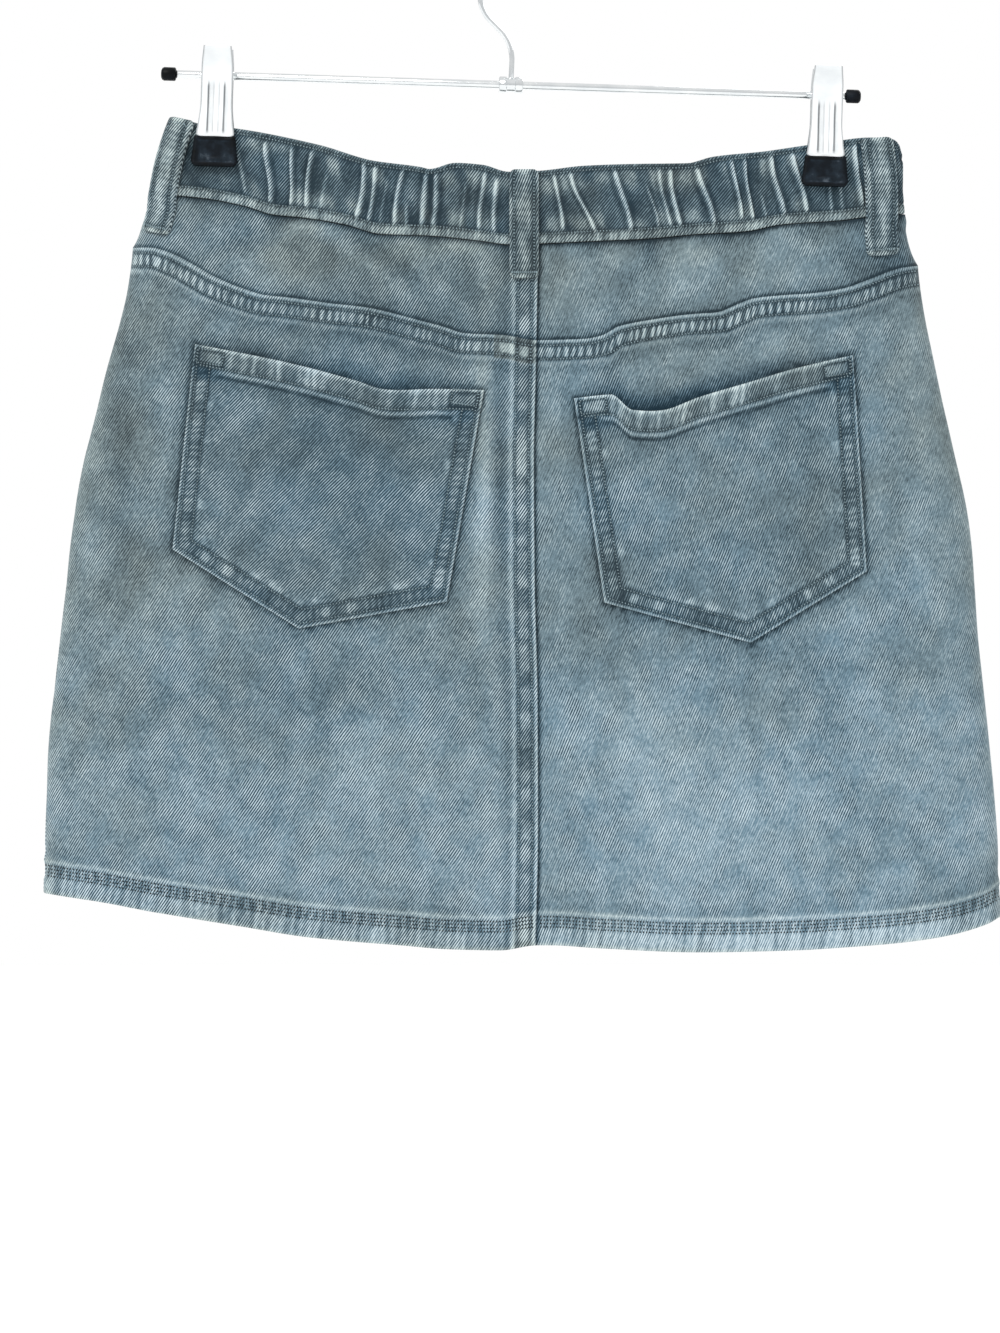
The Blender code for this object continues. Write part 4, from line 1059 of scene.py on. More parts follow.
def wall(name, outer, inner, marks=None, grain=0.0):
    """The mesh of a closed wall between two grids of points, rows down and columns across. Its UV map
    is the outer face laid flat, in metres, turned so that X follows the grain. `marks` holds the values
    of its attributes over the grid."""
    rows, columns = outer.shape[:2]
    bm = bmesh.new()
    bmesh.ops.create_grid(bm, x_segments=columns - 1, y_segments=rows - 1, size=0.5)
    skin = bmesh.ops.extrude_face_region(bm, geom=bm.faces[:])
    lifted = [item for item in skin["geom"] if isinstance(item, bmesh.types.BMVert)]
    bmesh.ops.translate(bm, vec=(0.0, 0.0, -1.0), verts=lifted)
    bmesh.ops.recalc_face_normals(bm, faces=bm.faces[:])
    mesh = bpy.data.meshes.new(name)
    bm.to_mesh(mesh)
    bm.free()

    flat = np.empty(len(mesh.vertices) * 3, np.float32)
    mesh.vertices.foreach_get("co", flat)
    flat = flat.reshape(-1, 3)
    i = np.rint((flat[:, 0] + 0.5) * (columns - 1)).astype(int)
    j = np.rint((0.5 - flat[:, 1]) * (rows - 1)).astype(int)
    behind = flat[:, 2] < -0.5
    points = np.where(behind[:, None], inner[j, i], outer[j, i]) * MM
    mesh.vertices.foreach_set("co", points.astype(np.float32).ravel())
    mesh.update()

    corners = np.empty(len(mesh.loops), np.int32)
    mesh.loops.foreach_get("vertex_index", corners)
    x = outer[..., 0]
    stretch = np.hypot(np.diff(x, axis=1), np.diff(outer[..., 1], axis=1))
    way = np.sign(x[rows // 2, -1] - x[rows // 2, 0])
    run = way * np.concatenate([np.zeros((rows, 1)), np.cumsum(stretch, axis=1)], axis=1)
    # What the fold round a side adds to each column's place is the same all down it
    longer = np.mean(run - x, axis=0)
    u = x + longer - longer[np.argmin(np.abs(x[rows // 2]))]
    v = outer[..., 2]
    turned = np.stack(
        [u * math.cos(grain) + v * math.sin(grain), v * math.cos(grain) - u * math.sin(grain)], axis=-1,
    )
    layer = mesh.uv_layers.new(name="UVMap")
    layer.uv.foreach_set("vector", (turned[j, i][corners] * MM).astype(np.float32).ravel())
    for label, values in (marks or {}).items():
        attribute = mesh.attributes.new(label, "FLOAT", "POINT")
        attribute.data.foreach_set("value", (values + 0 * u)[j, i].astype(np.float32))

    if signed_volume(mesh) < 0:
        mesh.flip_normals()
    mesh.shade_smooth()
    return mesh


def sew(node, face, across, z, out, half, thick, marks, grain):
    """A piece of denim in place of a node. `half` is half its thickness, less where its edges are
    rounded, and `thick` its thickness away from them."""
    middle = out - thick / 2
    # Seen from outside, the twill rises to the right on every piece, the front ones as well
    mesh = wall(
        f"{node}_cloth", cloth(face, across, z, middle + half), cloth(face, across, z, middle - half),
        marks, grain if face == BACK else math.pi - grain,
    )
    return declare_sheet(show(f"{node}_cloth", mesh, DENIM_TWILL, node))


def declare_sheet(obj):
    return obj


def body_grid(face, side, upper, lower, columns, top_lines, low_lines, step):
    """(across, z) of a panel's grid. Its columns lie at set distances from the centre seam near it and
    spread with the tube further out, and its first and last rows follow its upper and lower seams."""
    full = half_width(girth(2.2), side)
    widen = ease(np.abs(columns), 16.0, 80.0)

    def across_at(level):
        return side * lerp(columns / half_width(girth(level), side), columns / full, widen)

    top = edge_height(face, upper, across_at(float(upper)))
    low = edge_height(face, lower, across_at(float(lower)))
    first, last = top - top_lines[-1], low + low_lines[0]
    between = spaced(0.0, 1.0, step / float(np.mean(first - last)))[1:-1]
    z = np.concatenate([
        top[None, :] - np.asarray(top_lines)[:, None],
        lerp(first, last, between[:, None]),
        low[None, :] + np.asarray(low_lines)[:, None],
    ])
    level = lerp(float(upper), float(lower), np.clip((top - z) / (top - low), 0.0, 1.0))
    for _ in range(3):
        across = np.clip(across_at(level), -1.0, 1.0)
        level = level_at(face, across, z)
    return across, z


def side_columns(full, start, step):
    """Distances from the centre seam out to the side seam, close together where the side folds."""
    turn = 1 - 0.06 * (1 - np.linspace(0.0, 1.0, 14)) ** 2
    return np.concatenate([spaced(start, 0.94 * full, step)[:-1], turn * full])


LAP_UNDER = 8.0           # how far a piece reaches in under the lapped edge that covers it
GRAIN = {LEFT: math.radians(56.0), RIGHT: math.radians(67.0)}     # the twill's rise to the right


def near_columns(side, step):
    """Columns beside the centre seam: the left half laps over it, and the right half reaches under."""
    if side == LEFT:
        return seam_lines(16.0, step)
    return np.concatenate([spaced(-LAP_UNDER, 0.0, 2.0), spaced(0.6, 6.0, 0.9)])


def sew_body(name, face, side, upper, lower, top_lines, low_lines, across_step, down_step):
    """A yoke, which ends at the yoke seam, or a panel, which ends at the hem."""
    full = float(half_width(girth(2.2), side))
    near = near_columns(side, 0.85)
    columns = np.concatenate([near, side_columns(full, near[-1] + across_step, across_step)])
    across, z = body_grid(face, side, upper, lower, columns, top_lines, low_lines, down_step)
    x = cloth(face, across, z, PANEL_OUT)[..., 0]
    out, marks = body_surface(face, side, "panel" if lower == HEM else "yoke", x, z)
    marks["tone"] = marks["tone"] + 0.14 * ease(np.abs(across), 0.985, 1.0)
    marks["blue"] = marks["blue"] - 0.3 * ease(np.abs(across), 0.96, 1.0)
    edge = np.full_like(x, 50.0)
    thick = np.full_like(x, DENIM_THICK)
    if side == LEFT:
        edge = np.minimum(edge, columns + 0 * z)
    if lower == HEM:
        height = np.maximum(-seam_distance(face, HEM, x, z), 0.0)
        edge = np.minimum(edge, height)
        thick = lerp(2.6, DENIM_THICK, ease(height, HEM_ROWS[-1] - 1.0, HEM_ROWS[-1] + 0.6))
        if face == BACK:
            edge = np.minimum(edge, np.maximum(seam_distance(face, YOKE_SEAM, x, z), 0.0))
    return sew(name, face, across, z, out, rounded(edge, thick), thick, marks, GRAIN[side])


CREASE_BEND = 1.7         # how far a crease bows to one side between its ends
CREASE_SWAY = 0.09        # how much steeper than in its middle a crease runs at both ends


def band_columns(face):
    """(top, seam) X of the lines that a waistband's columns run down. They follow its creases and lie
    close together there and where its sides fold."""
    first, last = EDGES[WAIST][0][0], EDGES[WAIST][-1][0]
    beside_crease = np.array((-2.4, -1.5, -0.8, -0.35, 0.0, 0.35, 0.8, 1.5, 2.4))
    places = [spaced(first + 1.2, last - 1.2, 1.1 if face == BACK else 2.4)]
    if face == BACK:
        places += [row[0] + beside_crease for row in CREASES]
    middle = np.sort(np.concatenate(places))
    middle = middle[np.concatenate([[True], np.diff(middle) > 0.22])]
    ends = np.array((0.0, 0.02, 0.08, 0.2, 0.4, 0.65, 0.9))
    top = np.concatenate([first + ends, middle, last - ends[::-1]])
    knots = [(first, EDGES[BAND_SEAM][0][0]), *(row[:2] for row in CREASES), (last, EDGES[BAND_SEAM][-1][0])]
    return top, curve(knots, top)


def sew_waistband(face, name):
    lines = band_columns(face)
    across_ends = []
    for x, level in zip(lines, (0.0, 1.0)):
        ring = girth(level)
        beside = x - ring["centre"]
        across_ends.append(np.clip(beside / half_width(ring, beside), -1.0, 1.0))
    high = float(np.mean(
        edge_height(face, WAIST, across_ends[0]) - edge_height(face, BAND_SEAM, across_ends[1]),
    ))
    level = np.concatenate([
        seam_lines(6.0, 0.7), spaced(7.0, high - 8.5, 1.1), high - seam_lines(7.5, 0.7)[::-1],
    ])[:, None] / high
    across = lerp(*across_ends, level - CREASE_SWAY * np.sin(2 * math.pi * level))
    if face == BACK:
        bend = CREASE_BEND * np.sin(math.pi * level) * np.sin(lines[0] / 7.0) * (1 - across**8)
        across = across + bend / half_width(girth(0.5), across)
    z = lerp(edge_height(face, WAIST, across), edge_height(face, BAND_SEAM, across), level)
    x = cloth(face, across, z, 0.0)[..., 0]
    out, marks = band_surface(face, x, z)
    if face == BACK:
        lift, shade = crease_lift(*lines, level)
        out, marks["tone"] = out + settings().gather * lift, marks["tone"] + shade
    for place in CLIPS.values():
        held = 1 - ease(np.abs(x - BAR_CENTRE.x - place), PAD_LOW_WIDTH / 2, PAD_LOW_WIDTH / 2 + 3.0)
        out = lerp(out, np.minimum(out, 0.05), held)
    edge = np.minimum(seam_distance(face, WAIST, x, z), -seam_distance(face, BAND_SEAM, x, z))
    half = rounded(np.maximum(edge, 0.0), BAND_THICK, BAND_ROUND)
    return sew(name, face, across, z, out, half, BAND_THICK, marks, math.radians(51.0))


def sew_pocket(side):
    spec = POCKETS[side]
    top_left, low_left, point, low_right, top_right = (
        np.array(spec[key]) for key in ("top_left", "low_left", "point", "low_right", "top_right")
    )
    wide = float(np.hypot(*(top_right - top_left)))
    tall = float(top_left[1] - point[1]) * 0.88
    turn = float(np.hypot(*(point - low_left)))
    turn = turn / (turn + float(np.hypot(*(low_right - point))))
    u = np.sort(np.append(edge_to_edge(wide, 1.05) / wide, turn))[:, None]
    v = (edge_to_edge(tall, 1.05) / tall)[:, None, None]
    top = lerp(top_left, top_right, u)
    top = top - np.concatenate([0 * u, curve(spec["mouth"], u)], axis=1)
    low = np.where(
        u < turn, lerp(low_left, point, u / turn), lerp(point, low_right, (u - turn) / (1 - turn)),
    )
    places = lerp(top[None], low[None], v)
    x, z = places[..., 0], places[..., 1]
    out, thick, marks = pocket_surface(side, x, z)
    inside, under, _ = beside_pocket(side, x, z)
    half = rounded(np.maximum(np.minimum(inside, under), 0.0), thick)
    across = across_of(BACK, x, z, out)
    grain = math.radians({"left": 46.0, "right": 68.0}[side])
    return sew(f"back_pocket_{side}", BACK, across, z, out, half, thick, marks, grain)


def sew_loop(name):
    spec = named(LOOP_COLUMNS, LOOPS[name])
    run = np.array((spec["low_x"] - spec["top_x"], spec["low_z"] - spec["top_z"]))
    length = float(np.hypot(*run))
    along = edge_to_edge(length, 0.95)[:, None]
    to_end = np.minimum(along, length - along)
    near_end = 1 - np.clip(to_end / LOOP_CORNER, 0.0, 1.0)
    half_wide = spec["width"] / 2 - LOOP_CORNER * (1 - np.sqrt(1 - near_end**2))
    share = edge_to_edge(spec["width"], 0.7) / spec["width"] * 2 - 1
    beside = share * half_wide
    down = run / length
    x = spec["top_x"] + along * down[0] - beside * down[1]
    z = spec["top_z"] + along * down[1] + beside * down[0]
    out, marks = loop_surface(name, x, z)
    edge = np.minimum(half_wide - np.abs(beside), to_end)
    half = rounded(np.maximum(edge, 0.0), LOOP_THICK, 0.9)
    across = across_of(spec["face"], x, z, 0.0)
    return sew(f"belt_loop_{name}", spec["face"], across, z, out, half, LOOP_THICK, marks,
               math.radians(spec["grain"]))


# The shorts inside: where they fork and end, how far the legs part, and how much narrower and flatter
# than the skirt they hang
FORK_LEVEL, FORK_EASE, LEG_HEM_LEVEL = 2.52, 0.22, 2.83
LEG_SPREAD = 6.0
SIDE_INSET = (4.0, 12.0)
FREE_DEPTH, FREE_FOLD = 0.5, 5.0
INSEAM_REACH = 0.6


def height(face, across, level):
    rows = [edge_height(face, edge, across) for edge in EDGES]
    drops = [np.clip(level - i, 0.0, 1.0) * (a - b) for i, (a, b) in enumerate(zip(rows, rows[1:]))]
    return rows[0] - sum(drops)


def fold_round(share, sharpness):
    return np.sqrt(np.maximum(0.0, 1 - np.abs(share) ** sharpness))


def shorts_points(face, side, share, level, depth):
    """Points of a quarter of the shorts, `depth` in from its outer face. It runs from the side seam
    in to the centre seam above the fork, and to the inseam of its own leg below."""
    ring = girth(level)
    free = ease(level, 1.0, 2.0)
    legs = ease(level, FORK_LEVEL - FORK_EASE, FORK_LEVEL)
    parted = LEG_SPREAD * np.maximum(0.0, level - FORK_LEVEL) / (LEG_HEM_LEVEL - FORK_LEVEL)
    inner_edge = GAP / 2 + parted + legs * depth
    full = half_width(ring, side)
    reach = lerp(inner_edge, full + SHORTS_OUT - lerp(*SIDE_INSET, free) - depth, share)
    across = side * reach / full
    gape = np.maximum(0.0, 1 - (across / CLAMP_REACH) ** 2) ** 2
    gape = lerp(gape, 1.0, ease(level, 1.0, 2.4))
    deep = lerp(ring["deep_side"], ring["deep_mid"], gape) * lerp(1.0, FREE_DEPTH, free) + SHORTS_OUT - depth
    deep = deep * fold_round(share, lerp(ring["fold"], FREE_FOLD, free))
    deep = deep * lerp(1.0, fold_round(1 - np.minimum(share / INSEAM_REACH, 1.0), 3.0), legs)
    x = ring["centre"] + side * reach
    z = height(face, across, level) - GAP / 2
    return np.stack([x, face * (GAP / 2 + np.maximum(deep, 0.0)), z], axis=-1)


def sew_shorts(face_name, side_name):
    face, side = FACES[face_name], SIDES[side_name]
    share = np.sin(np.linspace(0.0, 1.0, 44) * math.pi - math.pi / 2) / 2 + 0.5
    level = lerp(1.0, LEG_HEM_LEVEL, np.linspace(0.0, 1.0, 72) ** 0.9)[:, None]
    outer = shorts_points(face, side, share, level, 0.0)
    x, z = outer[..., 0], outer[..., 2]
    rise = (level[-1, 0] - level) * 290.0
    hem = 1 - ease(rise, 17.0, 18.0)
    middle = ease(share, 0.02, 0.12) * (1 - ease(share, 0.9, 0.99)) * ease(level, 1.0, 1.15)
    soft = 0.5 * rough(x, z, 34.0, 81.0 + face) + 0.3 * rough(x, z, 13.0, 82.0 + side)
    dips = 0.7 * (1 - soft) * middle + 0.35 * bump(rise, 15.5, 0.9) * middle
    inner = shorts_points(face, side, share, level, KNIT_THICK + dips + 0.5 * hem * middle)
    outer = shorts_points(face, side, share, level, dips)
    node = f"shorts_{face_name}_{side_name}"
    mesh = wall(f"{node}_cloth", outer, inner)
    return declare_sheet(show(f"{node}_cloth", mesh, KNIT, node))


def stitch_shape(tone):
    """One stitch a unit long along X, whose ends dive into the cloth below it."""
    bm = bmesh.new()
    bmesh.ops.create_cone(bm, cap_ends=True, segments=5, radius1=0.5, radius2=0.5, depth=1.0)
    turn = Matrix.Rotation(math.pi / 2, 4, "Y")
    bmesh.ops.transform(bm, matrix=turn, verts=bm.verts[:])
    along = [edge for edge in bm.edges if abs(edge.verts[1].co.x - edge.verts[0].co.x) > 0.5]
    bmesh.ops.subdivide_edges(bm, edges=along, cuts=2)
    mark = bm.verts.layers.float.new("tone")
    for vertex in bm.verts:
        dive = (2 * vertex.co.x) ** 2
        # Painted shade: the thread darkens towards its ends, where it dives into the cloth
        vertex[mark] = tone - 0.55 * dive
        vertex.co.y *= 1 - 0.25 * dive
        vertex.co.z = 0.7 * vertex.co.z + 0.25 - 0.75 * dive
    bmesh.ops.recalc_face_normals(bm, faces=bm.faces[:])
    mesh = bpy.data.meshes.new("stitch")
    bm.to_mesh(mesh)
    bm.free()
    return mesh


def resampled(points, pitch):
    """Places a pitch apart along a path of (X, Z)."""
    points = np.asarray(points, float)
    run = np.concatenate([[0.0], np.cumsum(np.hypot(*np.diff(points, axis=0).T))])
    at = np.linspace(0.0, run[-1], max(2, round(run[-1] / pitch) + 1))
    return np.stack([np.interp(at, run, points[:, 0]), np.interp(at, run, points[:, 1])], axis=-1)


class Needle:
    """Sews rows of stitches and makes one mesh of them."""

    def __init__(self, name, tone=0.5):
        self.name = name
        self.bm = bmesh.new()
        self.stitch = stitch_shape(tone)

    def row(self, face, points, surface, pitch=None, length=0.6, cut_there=True):
        """Stitches along a path of (X, Z) on the face whose `out` at any X and Z `surface` gives. A
        belt loop isn't cut to lie there, but carried out past it by its own stand off the waistband."""
        pitch = pitch or settings().stitch_pitch / MM
        x, z = resampled(points, pitch).T
        out = surface(x, z)
        across = across_of(face, x, z, out if cut_there else 0.0)
        under, over = cloth(face, across, z, out), cloth(face, across, z, out + 1.0)
        for start, end, low, high in zip(under, under[1:], under + 0.0, over):
            self.place(Vector(start), Vector(end), Vector(high - low), length)

    def bar(self, face, start, end, width, surface, pitch=1.0, cut_there=True):
        """A bar tack: stitches side by side across the line from start to end."""
        places = resampled((start, end), pitch)
        run = (places[-1] - places[0]) / np.hypot(*(places[-1] - places[0]))
        off = np.array((-run[1], run[0])) * width / 2
        for middle in places:
            self.row(face, (middle - off, middle + off), surface, width, 1.0, cut_there)

    def place(self, start, end, up, length):
        along = end - start
        if along.length < 0.2:
            return
        along_unit = along.normalized()
        up = (up - up.dot(along_unit) * along_unit).normalized()
        beside = up.cross(along_unit)
        wide = settings().thread_width / MM
        matrix = Matrix.Identity(4)
        scale = (along.length * length, wide, wide)
        for i, (axis, size) in enumerate(zip((along_unit, beside, up), scale)):
            for j in range(3):
                matrix[j][i] = axis[j] * size * MM
        matrix.translation = (start + end) / 2 * MM
        copy = self.stitch.copy()
        copy.transform(matrix)
        self.bm.from_mesh(copy)
        bpy.data.meshes.remove(copy)

    def finish(self):
        mesh = bpy.data.meshes.new(self.name)
        self.bm.to_mesh(mesh)
        self.bm.free()
        bpy.data.meshes.remove(self.stitch)
        mesh.shade_smooth()
        return show(self.name, mesh, THREAD)


def edge_path(edge, face, below, first=0.0, last=1.0, steps=160):
    """A path of (X, Z) at a distance square to an edge or seam, between two shares of its length."""
    across = np.linspace(-0.998, 0.998, steps)[round(first * steps):round(last * steps)]
    ring = girth(float(edge))
    x = ring["centre"] + across * half_width(ring, across)
    z = edge_height(face, edge, across)
    slope = np.gradient(z, x)
    size = np.sqrt(1 + slope**2)
    return np.stack([x + below * slope / size, z - below / size], axis=-1)


def seam_path(face, side_of_fold, upper, lower, inset=(0.0, 0.0)):
    """A path down the centre seam, a distance in from its lapped edge, from one level to another."""
    level = np.linspace(upper, lower, 80)
    centre = girth(level)["centre"]
    z = height(face, 0.0 * level, level)
    path = np.stack([centre - side_of_fold, z], axis=-1)
    keep = (z <= z[0] - inset[0]) & (z >= z[-1] + inset[1])
    return path[keep]


def sew_band_stitches():
    needle = Needle("waistband_stitching")
    for face in (BACK, FRONT):
        def surface(x, z, face=face):
            return band_surface(face, x, z)[0]

        needle.row(face, edge_path(WAIST, face, BAND_TOP_ROW), surface)
        needle.row(face, edge_path(BAND_SEAM, face, -BAND_LOW_ROW), surface)
    return needle.finish()


def sew_seam_stitches():
    needle = Needle("seam_stitching")

    def yoke(x, z):
        return body_surface(BACK, LEFT, "yoke", x, z)[0]

    def left_panel(x, z):
        return body_surface(BACK, LEFT, "panel", x, z)[0]

    def right_panel(x, z):
        return body_surface(BACK, RIGHT, "panel", x, z)[0]

    def front_panel(x, z):
        return body_surface(FRONT, LEFT, "panel", x, z)[0]

    for inset in FELL_ROWS:
        path = edge_path(YOKE_SEAM, BACK, inset, steps=400)
        centre = girth(2.05)["centre"]
        needle.row(BACK, path[path[:, 0] < centre - 0.5], left_panel)
        needle.row(BACK, path[path[:, 0] > centre + 0.8], right_panel)
        needle.row(BACK, seam_path(BACK, inset, 1.0, 2.0, (4.0, 0.5)), yoke)
        needle.row(BACK, seam_path(BACK, inset, 2.0, 3.0, (0.8, HEM_ROWS[-1] + 1.0)), left_panel)
        needle.row(FRONT, seam_path(FRONT, inset, 1.0, 3.0, (1.0, HEM_ROWS[-1] + 1.0)), front_panel)
    return needle.finish()


def sew_hem_stitches():
    # The hem's rows are sunk between its puckers, and their thread is painted darker there as shade
    needle = Needle("hem_stitching", -0.1)
    for face in (BACK, FRONT):
        for row in HEM_ROWS:
            path = edge_path(HEM, face, -row, steps=400)
            centre = girth(2.95)["centre"]
            for side, part in ((LEFT, path[path[:, 0] < centre - 0.3]), (RIGHT, path[path[:, 0] > centre + 0.8])):
                def surface(x, z, face=face, side=side):
                    return body_surface(face, side, "panel", x, z)[0]

                needle.row(face, part, surface)
    return needle.finish()


def inset_outline(side, distance):
    """The path inside a pocket's sides and bottom, at a distance from them."""
    spec = POCKETS[side]
    corners = np.array([spec[key] for key in ("top_left", "low_left", "point", "low_right", "top_right")])
    run = np.diff(corners, axis=0)
    run = run / np.hypot(*run.T)[:, None]
    inward = np.stack([-run[:, 1], run[:, 0]], axis=-1)
    path = [corners[0] + inward[0] * distance]
    for corner, before, after, turn in zip(corners[1:-1], inward, inward[1:], run):
        # Where the two sides' lines, both moved in by the distance, cross
        bend = before + after
        path.append(corner + bend * distance * 2 / float(bend @ bend))
    path.append(corners[-1] + inward[-1] * distance)
    return np.array(path)


def sew_pocket_stitches():
    needle = Needle("pocket_stitching")
    for side, spec in POCKETS.items():
        def surface(x, z, side=side):
            return pocket_surface(side, x, z)[0]

        for inset in POCKET_ROWS:
            path = resampled(inset_outline(side, inset), 0.5)
            under = beside_pocket(side, path[:, 0], path[:, 1])[1]
            needle.row(BACK, path[under > (1.5 if inset < 5 else MOUTH_ROW)], surface)
        top_left, top_right = np.array(spec["top_left"]), np.array(spec["top_right"])
        across = (top_right - top_left) / np.hypot(*(top_right - top_left))
        share = np.linspace(0.0, 1.0, 60)
        mouth = lerp(top_left, top_right, share[:, None])
        mouth[:, 1] -= curve(spec["mouth"], share) + MOUTH_ROW
        inside = beside_pocket(side, mouth[:, 0], mouth[:, 1])[0]
        needle.row(BACK, mouth[inside > POCKET_ROWS[0]], surface)
        down = np.array((across[1], -across[0]))
        for corner, way in ((top_left, across), (top_right, -across)):
            near, far = BOX_CENTRE[0] - BOX_HALF[0], BOX_CENTRE[0] + BOX_HALF[0]
            high, low = BOX_CENTRE[1] - BOX_HALF[1], BOX_CENTRE[1] + BOX_HALF[1]
            box = [corner + way * a + down * b for a, b in ((near, high), (far, high), (far, low), (near, low), (near, high))]
            needle.row(BACK, box, surface, 1.5)
    return needle.finish()


def sew_loop_stitches():
    needle = Needle("belt_loop_stitching")
    for name, row in LOOPS.items():
        spec = named(LOOP_COLUMNS, row)

        def surface(x, z, name=name):
            return loop_surface(name, x, z)[0]

        top = np.array((spec["top_x"], spec["top_z"]))
        low = np.array((spec["low_x"], spec["low_z"]))
        down = (low - top) / np.hypot(*(low - top))
        beside = np.array((-down[1], down[0]))
        reach = spec["width"] / 2 - LOOP_ROW
        for sign in (-1, 1):
            offset = beside * sign * reach
            side_row = (top + down * LOOP_ROW + offset, low - down * 1.0 + offset)
            needle.row(spec["face"], side_row, surface, cut_there=False)
        end, hem = low - down * 3.0, top + down * LOOP_ROW
        needle.row(spec["face"], (hem - beside * reach, hem + beside * reach), surface, cut_there=False)
        tack = beside * (reach + 1.0)
        needle.bar(spec["face"], end - tack, end + tack, 1.8, surface, cut_there=False)
    return needle.finish()


# The hanger, whose bar runs along its own X at a slight tilt
TILT = math.radians(1.88)
BAR_CENTRE = Vector((-2.5, 0.0, -61.5))
BAR_RADIUS, BAR_HALF, BORE_RADIUS = 2.0, 173.0, 2.3
COLLAR_RADIUS, COLLAR_HALF = 4.2, 6.0
CAP_RADIUS, CAP_INSIDE, CAP_BEYOND = 3.4, 5.0, 2.5
WIRE_RADIUS = 1.3
HOOK_RADIUS, HOOK_BEND = 18.0, 21.0
HOOK_LEAN, HOOK_END = math.radians(45.0), math.radians(8.0)
CLIPS = {"left": -147.1, "right": 158.4}     # place of each clip along the bar
PAD_TOP, PAD_LOW = -31.0, -46.2
PAD_TOP_WIDTH, PAD_LOW_WIDTH, PAD_THICK, PAD_CORNER = 20.5, 23.5, 4.2, 3.0
PAD_NEAR = 4.65           # a pad's inner face, from the hanger's middle plane
PLATE = 0.8
EAR_FROM = {BACK: 6.9, FRONT: 5.7}           # the front jaw's ears sit between the back one's
EAR_NEAR, EAR_FAR, EAR_HALF, EAR_CORNER = 4.2, 3.2, 3.6, 2.2
SPRING_WIRE, SPRING_COIL, SPRING_HALF = 0.45, 2.85, 4.7

# A jaw's plate from the tip in its pad to its finger tab: height over the bar, distance from the
# bar's axis, and half width
JAW = (
    (-41.0, 6.75, 7.6), (-31.4, 6.75, 7.6), (-30.2, 6.75, 9.5), (-25.0, 6.6, 8.8), (-14.0, 4.4, 7.9),
    (-4.0, 4.1, 7.9), (4.0, 4.6, 7.9), (14.0, 9.5, 7.0),
)


def bar_frame(place=0.0):
    """From millimetres beside a place along the bar to the scene's metres."""
    tilted = Matrix.Translation(BAR_CENTRE) @ Matrix.Rotation(TILT, 4, "Y")
    return Matrix.Scale(MM, 4) @ tilted @ Matrix.Translation((place, 0.0, 0.0))


def turned(name, profile, closed, finish, slot, node, steps=56):
    """A round piece of the bar: (place, radius) points turned about it. A closed profile leaves a bore."""
    bm = bmesh.new()
    points = [bm.verts.new((place, 0.0, radius)) for place, radius in profile]
    ring = zip(points, points[1:] + points[:1]) if closed else zip(points, points[1:])
    for a, b in ring:
        bm.edges.new((a, b))
    bmesh.ops.spin(
        bm, geom=bm.verts[:] + bm.edges[:], axis=(1.0, 0.0, 0.0), cent=(0.0, 0.0, 0.0),
        angle=2 * math.pi, steps=steps, use_merge=True,
    )
    bmesh.ops.remove_doubles(bm, verts=bm.verts[:], dist=1e-4)
    bmesh.ops.recalc_face_normals(bm, faces=bm.faces[:])
    bmesh.ops.transform(bm, matrix=bar_frame(), verts=bm.verts[:])
    mesh = bpy.data.meshes.new(name)
    bm.to_mesh(mesh)
    bm.free()
    mesh.shade_smooth()
    mesh.set_sharp_from_angle(angle=math.radians(50.0))
    return show(name, mesh, finish, node)


def wire_mesh(name, route, radius, place):
    """Round wire along a route, its ends rounded over."""
    curve_data = bpy.data.curves.new(name, "CURVE")
    curve_data.dimensions = "3D"
    spline = curve_data.splines.new("POLY")
    route = [Vector(point) for point in route]
    first, last = (route[0] - route[1]).normalized(), (route[-1] - route[-2]).normalized()
    points = [(point, 1.0) for point in route]
    for share in (0.4, 0.75, 0.95):
        thin = math.sqrt(1 - share**2)
        points.insert(0, (route[0] + first * radius * share, thin))
        points.append((route[-1] + last * radius * share, thin))
    spline.points.add(len(points) - 1)
    for made, (point, thin) in zip(spline.points, points):
        made.co = (*point, 1.0)
        made.radius = thin
    curve_data.bevel_depth = radius
    curve_data.bevel_resolution = 5
    curve_data.use_fill_caps = True
    holder = bpy.data.objects.new(name, curve_data)
    mesh = bpy.data.meshes.new_from_object(holder)
    bpy.data.objects.remove(holder)
    bpy.data.curves.remove(curve_data)
    mesh.transform(place)
    mesh.shade_smooth()
    return mesh


def arc(centre, radius, start, stop, steps):
    """Points of an arc in the XZ plane, angles in radians from +X towards +Z."""
    return [
        centre + Vector((math.cos(a), 0.0, math.sin(a))) * radius
        for a in np.linspace(start, stop, steps + 1)
    ]


def hook_route():
    """Stem, bend to the left, then the round of the hook whose inside top is the origin."""
    centre = Vector((0.0, 0.0, WIRE_RADIUS - HOOK_RADIUS))
    stem_x = BAR_CENTRE.x + 0.5
    sine, cosine = math.sin(HOOK_LEAN), math.cos(HOOK_LEAN)
    touch = centre + Vector((-cosine, 0.0, -sine)) * HOOK_RADIUS
    run_in = (touch.x - stem_x + HOOK_BEND * (1 - cosine)) * cosine / sine
    bend_z = touch.z - HOOK_BEND * sine + run_in
    bend = arc(Vector((stem_x - HOOK_BEND, 0.0, bend_z)), HOOK_BEND, 0.0, HOOK_LEAN, 24)
    over = arc(centre, HOOK_RADIUS, math.pi + HOOK_LEAN, HOOK_END, 72)
    tip = over[-1] + Vector((2.2, 0.0, -3.0))
    return [Vector((BAR_CENTRE.x, 0.0, BAR_CENTRE.z + BAR_RADIUS + 0.9)), *bend, *over, tip]


